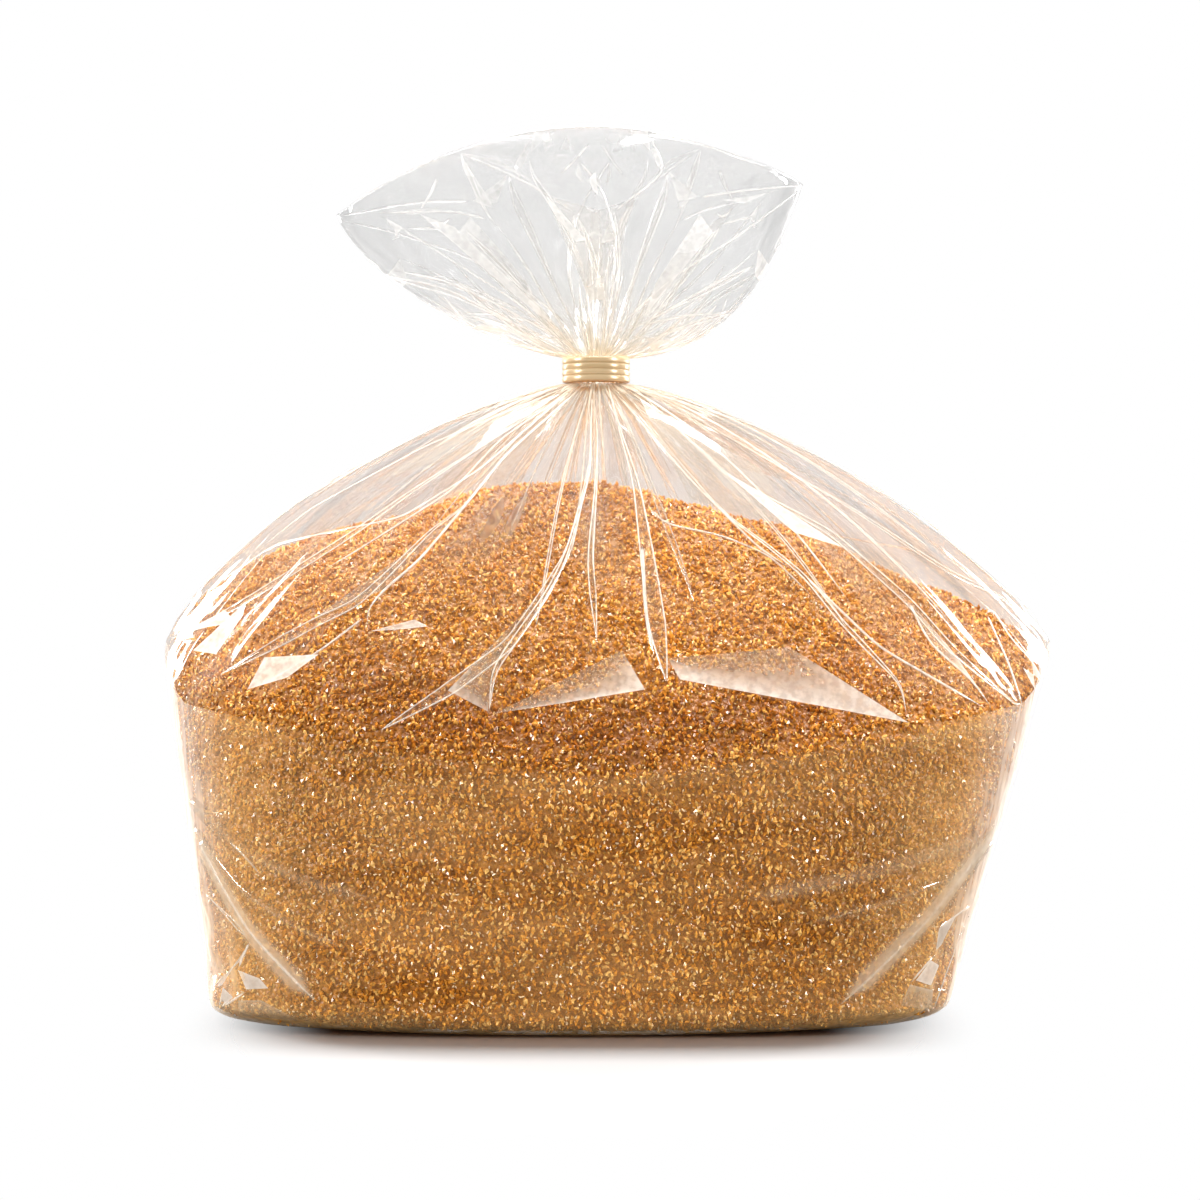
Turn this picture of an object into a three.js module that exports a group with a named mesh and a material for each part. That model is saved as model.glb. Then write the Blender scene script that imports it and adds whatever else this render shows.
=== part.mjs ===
// A tied clear bag of coarse brown sugar. The bag stands on a flat base, widens up to its
// shoulder, closes over the contents like a tent whose pleats run up to the neck, and opens
// again above the tie as a thin frill. Bag and contents are one closed body, and the tie is a
// ribbed band that goes round the neck.
// Millimetres. +Z is up, the front faces -Y, and the origin is on the floor under the middle.
import * as THREE from "three";

// The body, from the floor up to the shoulder.
const SHOULDER_HALF_WIDTH = 100.4;
const SHOULDER_HALF_DEPTH = 57;
const SHOULDER_SIDE_HEIGHT = 84;
const CORNER_DIP = 12; // how much lower the shoulder is at its corners than at its sides
const MIDDLE_DIP = 15; // how much lower again it is at the middle of the front and back
const CORNER_DEPTH_SHARE = 0.45; // where its corners are, as a share of the half depth
const SHOULDER_SQUARENESS = 2.5;
const BASE_HALF_WIDTH = 81.5;
const BASE_HALF_DEPTH = 46;
const BASE_SHIFT = -6.5; // the bag leans a little, so its base is left of its shoulder
const BASE_SQUARENESS = 3.4;
const FOOT_ROUNDNESS = 1.3; // how much less square the outline is right on the floor
const BASE_EDGE_HEIGHT = 6; // the rounding between the flat base and the walls
const BASE_EDGE_INSET = 8;
const EAR_ANGLE = 0.58; // the folded film at the base's four corners, from the bag's width line
const EAR_SPREAD = 0.16;
const EAR_HEIGHT = 8;
const EAR_REACH = 1;
const EAR_SHARPENING = 0.3; // the share of the base's rounding that is gone at an ear

// The tent, from the shoulder up to the neck.
const NECK_X = -2.7;
const NECK_RADIUS = 5.8;
const NECK_BOTTOM = 142.4;
const NECK_TOP = 148.7;
// Fullness of the curve from shoulder to neck, where 1 would be straight.
const TENT_POWER_FRONT = 1.16;
const TENT_POWER_LEFT = 1.39;
const TENT_POWER_RIGHT_LOW = 1.28;
const TENT_POWER_RIGHT_HIGH = 1.4;
const PLEAT_COUNT = 24;
const PLEAT_RELIEF = 2.3;

// The frill above the tie.
const FRILL_REACH_LEFT = 58.7;
const FRILL_REACH_RIGHT = 46.8;
const FRILL_REACH_DEPTH = 14;
const FRILL_TIP_LEFT = 180.8;
const FRILL_TIP_RIGHT = 187.6;
const FRILL_CROWN = 199.2;
const FRILL_FALL_LEFT = 1; // below 1, the rim falls away sooner from the crown to the tip
const FRILL_FALL_RIGHT = 0.85;
const FRILL_POWER_FRONT = 1.15;
const FRILL_POWER_LEFT = 1.42;
const FRILL_POWER_RIGHT_NECK = 1.95;
const FRILL_POWER_RIGHT_RIM = 1.15;
const FRILL_RUFFLES = 12;
const FRILL_RELIEF = 2;
const FRILL_WALL = 1.5;
const FRILL_MOUTH_TURN = 0.34; // where the frill's mouth ends, above the neck
const FRILL_MOUTH_FLOOR = 153.2;

// The band round the neck.
const BAND_BOTTOM = 142.9;
const BAND_TOP = 148.3;
const BAND_INNER_RADIUS = 6.2;
const BAND_OUTER_RADIUS = 7.45;
const BAND_RIBS = 4;
const BAND_RIB_RELIEF = 0.35;

// How finely the surfaces are divided.
const COLUMNS = 96;
const BODY_RINGS = 10;
const TENT_RINGS = 14;
const FRILL_RINGS = 10;
const MOUTH_RINGS = 7;
const BAND_SIDES = 48;
const RIB_STEPS = 5;

const QUARTER_TURN = Math.PI / 2;
const FULL_TURN = Math.PI * 2;

const mix = (from, to, share) => from + (to - from) * share;
const bump = (distance, spread) => Math.exp(-((distance / spread) ** 2));

// Goes evenly from -1 to 1 and back once for each whole number, so that folds have sharp lines.
function foldWave(place) {
  return 1 - 4 * Math.abs(place - Math.floor(place) - 0.5);
}

// A point of a rounded rectangle; the higher the squareness, the fuller its corners.
function outlinePoint(angle, halfWidth, halfDepth, squareness) {
  const across = Math.cos(angle);
  const deep = Math.sin(angle);
  const fullness =
    Math.abs(across) ** squareness + Math.abs(deep) ** squareness;
  const reach = fullness ** (-1 / squareness);
  return { x: halfWidth * across * reach, y: halfDepth * deep * reach };
}

// How near a direction is to one of the four base corners, from 0 to 1.
function earShare(angle) {
  const fromWidthLine = Math.asin(Math.abs(Math.sin(angle)));
  return bump(fromWidthLine - EAR_ANGLE, EAR_SPREAD);
}

// The shoulder falls steeply from the sides to the corners and gently on to the middle.
function shoulderHeight(angle) {
  const { x, y } = outlinePoint(angle, 1, 1, SHOULDER_SQUARENESS);
  const corner = Math.min(1, Math.abs(y) / CORNER_DEPTH_SHARE);
  const middle = 1 - Math.abs(x) ** 1.3;
  return SHOULDER_SIDE_HEIGHT - CORNER_DIP * corner - MIDDLE_DIP * middle;
}

// The wall of the body; share is 0 on the floor and 1 at the shoulder.
function bodyPoint(angle, share) {
  const z = share * shoulderHeight(angle);
  const up = z / SHOULDER_SIDE_HEIGHT;
  const edge = Math.max(0, 1 - z / BASE_EDGE_HEIGHT);
  const squareness =
    mix(BASE_SQUARENESS, SHOULDER_SQUARENESS, share) - FOOT_ROUNDNESS * edge;
  const rounding = BASE_EDGE_INSET * (1 - EAR_SHARPENING * earShare(angle));
  const inset = rounding * (1 - Math.sqrt(1 - edge ** 2));
  const swell = Math.sin(QUARTER_TURN * share);
  const ear = EAR_REACH * earShare(angle) * bump(z - EAR_HEIGHT, EAR_HEIGHT);
  const halfWidth = mix(BASE_HALF_WIDTH, SHOULDER_HALF_WIDTH, up) - inset + ear;
  const halfDepth =
    mix(BASE_HALF_DEPTH, SHOULDER_HALF_DEPTH, swell) - inset + ear;
  const { x, y } = outlinePoint(angle, halfWidth, halfDepth, squareness);
  return new THREE.Vector3(x + BASE_SHIFT * (1 - up), y, z);
}

// The tent; turn is 0 at the shoulder and a quarter turn at the neck.
function tentPoint(angle, turn) {
  const shoulder = bodyPoint(angle, 1);
  const neck = neckPoint(angle, NECK_BOTTOM);
  const right = mix(
    TENT_POWER_RIGHT_LOW,
    TENT_POWER_RIGHT_HIGH,
    turn / QUARTER_TURN,
  );
  const side = Math.cos(angle) < 0 ? TENT_POWER_LEFT : right;
  const power = mix(TENT_POWER_FRONT, side, Math.cos(angle) ** 2);
  const out = Math.cos(turn) ** (2 / power);
  const rise = Math.sin(turn) ** (2 / power);
  const point = new THREE.Vector3(
    mix(neck.x, shoulder.x, out),
    mix(neck.y, shoulder.y, out),
    mix(shoulder.z, neck.z, rise),
  );
  const unevenness = 1 + 0.45 * Math.sin(5 * angle + 0.8);
  const relief =
    PLEAT_RELIEF *
    unevenness *
    Math.sin(2 * turn) *
    foldWave((PLEAT_COUNT * angle) / FULL_TURN);
  return point.addScaledVector(slopeNormal(neck, shoulder), relief);
}

// The direction that stands square to the straight line from the neck to a shoulder point.
function slopeNormal(neck, shoulder) {
  const fall = shoulder.clone().sub(neck);
  const level = new THREE.Vector3(fall.x, fall.y, 0);
  const height = -fall.z;
  const length = level.length();
  return level.setLength(height).setZ(length).normalize();
}

function neckPoint(angle, z) {
  return new THREE.Vector3(
    NECK_X + NECK_RADIUS * Math.cos(angle),
    NECK_RADIUS * Math.sin(angle),
    z,
  );
}

// The frill; turn is 0 at the neck and a quarter turn at the rim. Its two tips point sideways.
function frillPoint(angle, turn) {
  const leftwards = Math.cos(angle) < 0;
  const sideness = Math.cos(angle) ** 2;
  const reach = leftwards ? FRILL_REACH_LEFT : FRILL_REACH_RIGHT;
  const tip = leftwards ? FRILL_TIP_LEFT : FRILL_TIP_RIGHT;
  const fall = leftwards ? FRILL_FALL_LEFT : FRILL_FALL_RIGHT;
  const right = mix(
    FRILL_POWER_RIGHT_NECK,
    FRILL_POWER_RIGHT_RIM,
    (turn / QUARTER_TURN) ** 2,
  );
  const sidePower = leftwards ? FRILL_POWER_LEFT : right;
  const power = mix(FRILL_POWER_FRONT, sidePower, sideness);
  const out = Math.sin(turn) ** (2 / power);
  const rise = 1 - Math.cos(turn) ** (2 / power);
  const neck = neckPoint(angle, NECK_TOP);
  const rim = new THREE.Vector3(
    NECK_X + reach * Math.cos(angle),
    FRILL_REACH_DEPTH * Math.sin(angle),
    mix(FRILL_CROWN, tip, sideness ** fall),
  );
  const ruffle =
    FRILL_RELIEF *
    out *
    (1 - sideness ** 2) *
    foldWave((FRILL_RUFFLES * angle) / FULL_TURN);
  return new THREE.Vector3(
    mix(neck.x, rim.x, out),
    mix(neck.y, rim.y, out) + ruffle * Math.sign(Math.sin(angle)),
    mix(neck.z, rim.z, rise),
  );
}

// The frill's inner side, a wall's thickness in from the outer side and above it.
function frillInnerPoint(angle, turn) {
  const point = frillPoint(angle, turn);
  const reach = Math.cos(angle) < 0 ? FRILL_REACH_LEFT : FRILL_REACH_RIGHT;
  const inward = new THREE.Vector3(
    -Math.cos(angle) / reach,
    -Math.sin(angle) / FRILL_REACH_DEPTH,
    0,
  );
  point.add(inward.setLength(FRILL_WALL));
  point.z = Math.min(point.z + FRILL_WALL, frillPoint(angle, QUARTER_TURN).z);
  return point;
}

function ring(pointAt) {
  return Array.from({ length: COLUMNS }, (_, column) =>
    pointAt((column / COLUMNS) * FULL_TURN),
  );
}

// Closes a stack of rings, listed from the floor up and back down the inside, with two end points.
function closedLoft(rings, firstEnd, lastEnd) {
  const places = [firstEnd, ...rings.flat(), lastEnd];
  const faces = [];
  const at = (level, column) => 1 + level * COLUMNS + (column % COLUMNS);
  for (let column = 0; column < COLUMNS; column++) {
    faces.push(0, at(0, column + 1), at(0, column));
    for (let level = 0; level < rings.length - 1; level++) {
      const lower = [at(level, column), at(level, column + 1)];
      const upper = [at(level + 1, column), at(level + 1, column + 1)];
      faces.push(lower[0], lower[1], upper[1], lower[0], upper[1], upper[0]);
    }
    const last = rings.length - 1;
    faces.push(at(last, column), at(last, column + 1), places.length - 1);
  }
  const geometry = new THREE.BufferGeometry();
  geometry.setFromPoints(places);
  geometry.setIndex(faces);
  geometry.computeVertexNormals();
  return geometry;
}

function makeBag() {
  const edgeHeights = [0, 0.08, 0.3, 0.6, 1];
  const lowestShoulder = shoulderHeight(QUARTER_TURN);
  const edgeShares = edgeHeights.map(
    (height) => (height * BASE_EDGE_HEIGHT) / lowestShoulder,
  );
  const rings = edgeShares.map((share) =>
    ring((angle) => bodyPoint(angle, share)),
  );
  for (let step = 1; step <= BODY_RINGS; step++) {
    const share = mix(edgeShares.at(-1), 1, step / BODY_RINGS);
    rings.push(ring((angle) => bodyPoint(angle, share)));
  }
  for (let step = 1; step <= TENT_RINGS; step++) {
    const turn = (step / TENT_RINGS) * QUARTER_TURN;
    rings.push(ring((angle) => tentPoint(angle, turn)));
  }
  rings.push(ring((angle) => neckPoint(angle, NECK_TOP)));
  for (let step = 1; step <= FRILL_RINGS; step++) {
    const turn = (step / FRILL_RINGS) * QUARTER_TURN;
    rings.push(ring((angle) => frillPoint(angle, turn)));
  }
  for (let step = MOUTH_RINGS; step >= 1; step--) {
    const turn = mix(FRILL_MOUTH_TURN, QUARTER_TURN, step / MOUTH_RINGS);
    rings.push(ring((angle) => frillInnerPoint(angle, turn)));
  }
  const underside = new THREE.Vector3(BASE_SHIFT, 0, 0);
  const mouthFloor = new THREE.Vector3(NECK_X, 0, FRILL_MOUTH_FLOOR);
  const sugarThroughFilm = new THREE.MeshStandardMaterial({
    color: 0xc08a50,
    roughness: 0.35,
    metalness: 0,
  });
  const bag = new THREE.Mesh(
    closedLoft(rings, underside, mouthFloor),
    sugarThroughFilm,
  );
  bag.name = "bag";
  return bag;
}

// A ring whose outer side has round ribs one above the other.
function makeNeckBand() {
  const height = BAND_TOP - BAND_BOTTOM;
  const profile = [new THREE.Vector2(BAND_INNER_RADIUS, 0)];
  const steps = BAND_RIBS * RIB_STEPS;
  for (let step = 0; step <= steps; step++) {
    const crown = Math.abs(Math.sin((Math.PI * step) / RIB_STEPS));
    const radius = BAND_OUTER_RADIUS - BAND_RIB_RELIEF * (1 - crown);
    profile.push(new THREE.Vector2(radius, (height * step) / steps));
  }
  profile.push(new THREE.Vector2(BAND_INNER_RADIUS, height), profile[0].clone());
  const satin = new THREE.MeshStandardMaterial({
    color: 0xd3b285,
    roughness: 0.35,
    metalness: 0.1,
  });
  const band = new THREE.Mesh(
    new THREE.LatheGeometry(profile, BAND_SIDES),
    satin,
  );
  band.name = "neck_band";
  band.rotation.x = QUARTER_TURN; // a lathe turns about Y, and the neck stands along Z
  band.position.set(NECK_X, 0, BAND_BOTTOM);
  return band;
}

const group = new THREE.Group();
group.add(makeBag(), makeNeckBand());

export default group;
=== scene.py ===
"""A tied clear bag of coarse golden-brown sugar, standing on a pale studio floor.

The film is modelled as a wall, a pleated tent over the sugar and a creased frill above the
neck band. The sugar is a mound with a grainy skin and loose crystals over it. The bag's sizes
are in millimetres, turned into metres where a mesh is made, and the lights' are in metres.
"""

import math

import bpy
import numpy as np
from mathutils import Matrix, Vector


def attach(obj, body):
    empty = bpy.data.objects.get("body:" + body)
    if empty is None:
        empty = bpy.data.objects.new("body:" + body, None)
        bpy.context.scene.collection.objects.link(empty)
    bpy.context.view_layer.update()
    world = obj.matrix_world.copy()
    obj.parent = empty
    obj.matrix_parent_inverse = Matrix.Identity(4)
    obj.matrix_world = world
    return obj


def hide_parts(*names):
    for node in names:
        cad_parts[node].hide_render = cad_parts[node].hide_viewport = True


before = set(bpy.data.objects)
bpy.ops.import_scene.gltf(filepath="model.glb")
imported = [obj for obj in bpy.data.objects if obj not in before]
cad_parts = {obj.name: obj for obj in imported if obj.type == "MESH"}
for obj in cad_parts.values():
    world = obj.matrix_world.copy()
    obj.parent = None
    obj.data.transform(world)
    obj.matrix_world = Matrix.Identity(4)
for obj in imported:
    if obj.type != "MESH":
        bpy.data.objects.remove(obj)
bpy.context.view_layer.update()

MM = 0.001
TURN = 2 * math.pi
QUARTER = math.pi / 2

# ---------------------------------------------------------------- sizes of the bag's form

SHOULDER_HALF_WIDTH = 100.4
SHOULDER_HALF_DEPTH = 57.0
SHOULDER_SIDE_HEIGHT = 84.0
CORNER_DIP = 12.0
MIDDLE_DIP = 15.0
MIDDLE_DIP_ROUNDNESS = 1.3
CORNER_DEPTH_SHARE = 0.45
SHOULDER_SQUARENESS = 2.5
BASE_HALF_WIDTH = 81.5
BASE_HALF_DEPTH = 46.0
BASE_SHIFT = -6.5
BASE_SQUARENESS = 3.4
BASE_EDGE_HEIGHT = 4.5
BASE_EDGE_INSET = 5.0
EAR_ANGLE = 0.58
EAR_SPREAD = 0.16
FOOT_ROUNDNESS = 1.3
EAR_HEIGHT = 8.0
EAR_REACH = 1.0
EAR_SHARPENING = 0.3

NECK_X = -2.7
NECK_RADIUS = 5.8
NECK_BOTTOM = 142.4
NECK_TOP = 148.7
TENT_POWER_FRONT = 1.16
TENT_POWER_LEFT = 1.39
TENT_POWER_RIGHT = (1.28, 1.4)

FRILL_REACH_LEFT = 58.7
FRILL_REACH_RIGHT = 46.8
FRILL_REACH_DEPTH = 14.0
FRILL_TIP_LEFT = 180.8
FRILL_TIP_RIGHT = 187.6
FRILL_FALL_LEFT = 1.0
FRILL_FALL_RIGHT = 0.85
FRILL_CROWN = 199.2
FRILL_BACK_RISE = 3.8
FRILL_POWER_FRONT = 1.15
FRILL_POWER_LEFT = 1.42
FRILL_POWER_RIGHT = (1.95, 1.15)

BAND_BOTTOM = 142.9
BAND_TOP = 148.3
BAND_INNER_RADIUS = 6.2
BAND_OUTER_RADIUS = 7.45
BAND_RIBS = 4
BAND_RIB_RELIEF = 0.3

CAMERA_PLACE = (-1.8, -750.0, 93.5)
PIXELS_PER_MM = 4.4
PICTURE_PIXELS = 1200

# ---------------------------------------------------------------- small helpers


def mix(low, high, share):
    return low + (high - low) * share


def smooth(low, high, value):
    """0 below low, 1 above high, and an even S-curve between."""
    share = np.clip((value - low) / (high - low), 0, 1)
    return share * share * (3 - 2 * share)


def bump(distance, spread):
    return np.exp(-((distance / spread) ** 2))


def outline(angle, half_width, half_depth, squareness):
    """A rounded rectangle's point in one direction, as x and y."""
    across, shoulder_shade = np.cos(angle), np.sin(angle)
    fullness = np.abs(across) ** squareness + np.abs(shoulder_shade) ** squareness
    reach = fullness ** (-1 / squareness)
    return half_width * across * reach, half_depth * shoulder_shade * reach


def unit(vectors):
    return vectors / np.maximum(np.linalg.norm(vectors, axis=-1, keepdims=True), 1e-12)


def directions(count):
    """Even directions all round the bag, in one row."""
    return np.linspace(0, TURN, count, endpoint=False)[None, :]


# ---------------------------------------------------------------- the bag's form


def ear_share(angle):
    """How near a direction is to one of the four corners of the base, from 0 to 1."""
    return bump(np.arcsin(np.abs(np.sin(angle))) - EAR_ANGLE, EAR_SPREAD)


def sideways(angle):
    """How far to the side a direction leads along the shoulder, from 0 to 1."""
    return np.abs(outline(angle, 1, 1, SHOULDER_SQUARENESS)[0])


def shoulder_height(angle):
    across, shoulder_shade = outline(angle, 1, 1, SHOULDER_SQUARENESS)
    corner = np.minimum(1, np.abs(shoulder_shade) / CORNER_DEPTH_SHARE)
    middle = 1 - np.abs(across) ** MIDDLE_DIP_ROUNDNESS
    return SHOULDER_SIDE_HEIGHT - CORNER_DIP * corner - MIDDLE_DIP * middle


def wall_point(angle, share):
    """The body's wall: share is 0 on the floor and 1 at the shoulder."""
    angle, share = np.broadcast_arrays(angle, share)
    z = share * shoulder_height(angle)
    up = z / SHOULDER_SIDE_HEIGHT
    edge = np.maximum(0, 1 - z / BASE_EDGE_HEIGHT)
    squareness = mix(BASE_SQUARENESS, SHOULDER_SQUARENESS, share) - FOOT_ROUNDNESS * edge
    rounding = BASE_EDGE_INSET * (1 - EAR_SHARPENING * ear_share(angle))
    inset = rounding * (1 - np.sqrt(1 - edge**2))
    ear = EAR_REACH * ear_share(angle) * bump(z - EAR_HEIGHT, EAR_HEIGHT)
    swell = np.sin(QUARTER * share)
    half_width = mix(BASE_HALF_WIDTH, SHOULDER_HALF_WIDTH, up) - inset + ear
    half_depth = mix(BASE_HALF_DEPTH, SHOULDER_HALF_DEPTH, swell) - inset + ear
    x, y = outline(angle, half_width, half_depth, squareness)
    return np.stack([x + BASE_SHIFT * (1 - up), y, z], -1)


def neck_point(angle, z):
    x = NECK_X + NECK_RADIUS * np.cos(angle)
    return np.stack([x, NECK_RADIUS * np.sin(angle), np.full_like(x, z)], -1)


def tent_point(angle, turn):
    """The tent over the sugar: turn is 0 at the shoulder and a quarter turn at the neck."""
    angle, turn = np.broadcast_arrays(angle, turn)
    shoulder = wall_point(angle, 1.0)
    neck = neck_point(angle, NECK_BOTTOM)
    right = mix(*TENT_POWER_RIGHT, turn / QUARTER)
    side = np.where(np.cos(angle) < 0, TENT_POWER_LEFT, right)
    power = mix(TENT_POWER_FRONT, side, np.cos(angle) ** 2)
    out = np.cos(turn) ** (2 / power)
    rise = np.sin(turn) ** (2 / power)
    level = mix(neck[..., :2], shoulder[..., :2], out[..., None])
    z = mix(shoulder[..., 2], neck[..., 2], rise)
    return np.concatenate([level, z[..., None]], -1)


def frill_point(angle, turn):
    """The frill: turn is 0 at the neck and a quarter turn at the rim."""
    angle, turn = np.broadcast_arrays(angle, turn)
    leftwards = np.cos(angle) < 0
    sideness = np.cos(angle) ** 2
    reach = np.where(leftwards, FRILL_REACH_LEFT, FRILL_REACH_RIGHT)
    tip = np.where(leftwards, FRILL_TIP_LEFT, FRILL_TIP_RIGHT)
    right = mix(*FRILL_POWER_RIGHT, (turn / QUARTER) ** 2)
    power = mix(FRILL_POWER_FRONT, np.where(leftwards, FRILL_POWER_LEFT, right), sideness)
    out = np.sin(turn) ** (2 / power)
    rise = 1 - np.cos(turn) ** (2 / power)
    neck = neck_point(angle, NECK_TOP)
    x = mix(neck[..., 0], NECK_X + reach * np.cos(angle), out)
    y = mix(neck[..., 1], FRILL_REACH_DEPTH * np.sin(angle), out)
    fall = np.where(leftwards, FRILL_FALL_LEFT, FRILL_FALL_RIGHT)
    rim = mix(FRILL_CROWN, tip, sideness**fall) + FRILL_BACK_RISE * np.maximum(0, np.sin(angle))
    z = mix(neck[..., 2], rim, rise)
    return np.stack([x, y, z], -1)


# ---------------------------------------------------------------- meshes from rings of points


def ring_normals(points):
    """Outward directions of a stack of closed rings, from the neighbours of each point."""
    along = np.roll(points, -1, 1) - np.roll(points, 1, 1)
    up = np.gradient(points, axis=0)
    return unit(np.cross(along, up))


def loft(name, points, ends=(None, None), attributes=None):
    """A mesh of closed rings, given from below, with an end point at either end if it has one."""
    levels, columns = points.shape[:2]
    places = [points.reshape(-1, 3)]
    level, column = np.meshgrid(np.arange(levels - 1), np.arange(columns), indexing="ij")
    here, right = level * columns + column, level * columns + (column + 1) % columns
    quads = np.stack([here, right, right + columns, here + columns], -1).reshape(-1, 4)
    corner = np.arange(columns)
    after = (corner + 1) % columns
    triangles = []
    total = levels * columns
    if ends[0] is not None:
        places.append(np.array([ends[0]], float))
        triangles.append(np.stack([np.full(columns, total), after, corner], -1))
        total += 1
    if ends[1] is not None:
        places.append(np.array([ends[1]], float))
        last = (levels - 1) * columns
        triangles.append(np.stack([np.full(columns, total), last + corner, last + after], -1))
    co = np.concatenate(places) * MM
    tri = np.concatenate(triangles) if triangles else np.zeros((0, 3), int)
    return mesh_object(name, co, quads, tri, attributes)


def mesh_object(name, co, quads, triangles, attributes=None):
    mesh = bpy.data.meshes.new(name)
    mesh.vertices.add(len(co))
    mesh.vertices.foreach_set("co", co.astype(np.float32).ravel())
    corners = np.concatenate([quads.ravel(), triangles.ravel()])
    mesh.loops.add(len(corners))
    mesh.loops.foreach_set("vertex_index", corners.astype(np.int32))
    sizes = np.concatenate([np.full(len(quads), 4), np.full(len(triangles), 3)])
    mesh.polygons.add(len(sizes))
    starts = np.concatenate([[0], np.cumsum(sizes)[:-1]])
    mesh.polygons.foreach_set("loop_start", starts.astype(np.int32))
    mesh.polygons.foreach_set("use_smooth", np.ones(len(sizes), bool))
    mesh.update(calc_edges=True)
    for label, values in (attributes or {}).items():
        layer = mesh.attributes.new(label, "FLOAT", "POINT")
        padded = np.zeros(len(co), np.float32)
        padded[: values.size] = values.ravel()
        layer.data.foreach_set("value", padded)
    mesh.validate()
    piece = bpy.data.objects.new(name, mesh)
    bpy.context.scene.collection.objects.link(piece)
    return piece


# ---------------------------------------------------------------- relief of creased film

STREAK_RING = 60
STREAK_CLIMB = 25


def facet_field(u, v, seed):
    """Flat triangular facets of random height, from -1 to 1, one pair for each unit square."""
    rng = np.random.default_rng(seed)
    size = 64
    heights = rng.uniform(-1, 1, (size, size))
    cell_u, cell_v = np.floor(u).astype(int), np.floor(v).astype(int)
    part_u, part_v = u - cell_u, v - cell_v

    def at(step_u, step_v):
        return heights[(cell_u + step_u) % size, (cell_v + step_v) % size]

    near = at(0, 0) + part_u * (at(1, 0) - at(0, 0)) + part_v * (at(0, 1) - at(0, 0))
    far = at(1, 1) + (1 - part_u) * (at(0, 1) - at(1, 1)) + (1 - part_v) * (at(1, 0) - at(1, 1))
    return np.where(part_u + part_v < 1, near, far)


def fold_line(points, start, end, width, height):
    """A sharp straight ridge from start to end, tapered at both, over points on a surface."""
    start, end = np.array(start, float), np.array(end, float)
    along = end - start
    share = ((points - start) @ along) / (along @ along)
    nearest = start + np.clip(share, 0, 1)[..., None] * along
    away = np.linalg.norm(points - nearest, axis=-1)
    side = np.clip(1 - away / width, 0, 1) ** 1.6
    return height * side * np.sin(math.pi * np.clip(share, 0.02, 0.98)) ** 0.5


def grain_noise(points, size, seed):
    """Smooth random relief of about the given size at points in space, from -1 to 1."""
    rng = np.random.default_rng(seed)
    table = rng.uniform(-1, 1, (32, 32, 32))
    place = points / size
    cell = np.floor(place).astype(int)
    part = place - cell
    part = part * part * (3 - 2 * part)
    total = 0
    for corner in np.ndindex(2, 2, 2):
        weight = np.prod(np.where(np.array(corner) == 1, part, 1 - part), axis=-1)
        spot = (cell + np.array(corner)) % 32
        total = total + weight * table[spot[..., 0], spot[..., 1], spot[..., 2]]
    return total


def radial_streaks(angle, turn, size, seed):
    """Random streaks that run from the neck outwards, from -1 to 1."""
    angle, turn = np.broadcast_arrays(angle, turn)
    ring, climb = STREAK_RING, STREAK_CLIMB
    place = np.stack([ring * np.cos(angle), ring * np.sin(angle), climb * turn], -1)
    return grain_noise(place, size, seed)


# ---------------------------------------------------------------- the tent's film

PANEL_EDGES = (184, 198, 212, 226, 241, 256, 269, 280, 292, 304, 311, 325, 342)
# Milkiness of each panel of the tent, as painted reflection of the lights and the room.
PANEL_SHEEN = (0.02, 0.10, 0.03, 0.08, 0.05, 0.12, 0.07, 0.09, 0.02, 0.0, 0.05, 0.11, 0.02)
PANEL_SAG = (0.025, 0.06)
MOST_PANELS = 99
PANEL_LEAN = 0.05
TENT_COLUMNS = 720
TENT_LEVELS = 96
TENT_LEVEL_POWER = 0.95
NECK_PLEATS = 46
NECK_PLEAT_HEIGHT = 0.45
TENT_FACET_HEIGHT = 0.5
TENT_RIPPLE_HEIGHT = 0.16
WARM_HEIGHTS = (96, 119)
HAZE_HEIGHT = 112
HAZE_SPREAD = 16
VEIL_HEIGHTS = (80, 112)
VEIL_MILK = (0.02, 0.36)


def panel_share(angle, edges):
    """For each direction, its panel's number, the place across it and the panel's width."""
    edges = np.radians(np.concatenate([np.array(edges), np.array(edges) + 180.0]) % 360)
    edges.sort()
    direction = angle % TURN
    number = np.searchsorted(edges, direction) % len(edges)
    width = (edges - np.roll(edges, 1)) % TURN
    start = np.roll(edges, 1)[number]
    return number, ((direction - start) % TURN) / width[number], width[number]


def tent_relief(angle, turn, base, from_neck, panels):
    """How far the tent's film stands off its plain form: sag, pleats, facets and ripples."""
    number, across, width = panels
    rng = np.random.default_rng(5)
    reach = np.linalg.norm(base[..., :2] - (NECK_X, 0), axis=-1)
    sag = rng.uniform(*PANEL_SAG, MOST_PANELS)[number] * 4 * across * (1 - across)
    height = -sag * width * reach
    pleats = np.cos(NECK_PLEATS * angle + 3 * np.sin(7 * angle) + 0.9 * np.sin(5 * turn))
    height = height + NECK_PLEAT_HEIGHT * pleats * np.exp(-from_neck / 16) * smooth(0, 4, from_neck)
    facets = TENT_FACET_HEIGHT * facet_field(angle / TURN * 26 + 0.3 * np.sin(9 * turn), turn * 5, 21)
    height = height + facets * smooth(0, 0.25, turn) * smooth(0, 0.3, QUARTER - turn)
    ripple = radial_streaks(angle, turn, 2.4, 15) + 0.7 * radial_streaks(angle, turn, 5.5, 16)
    ripple = TENT_RIPPLE_HEIGHT * ripple * np.minimum(1, reach / 60) * smooth(0, 0.1, turn)
    return height * smooth(0, 0.45, turn) + ripple


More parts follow.
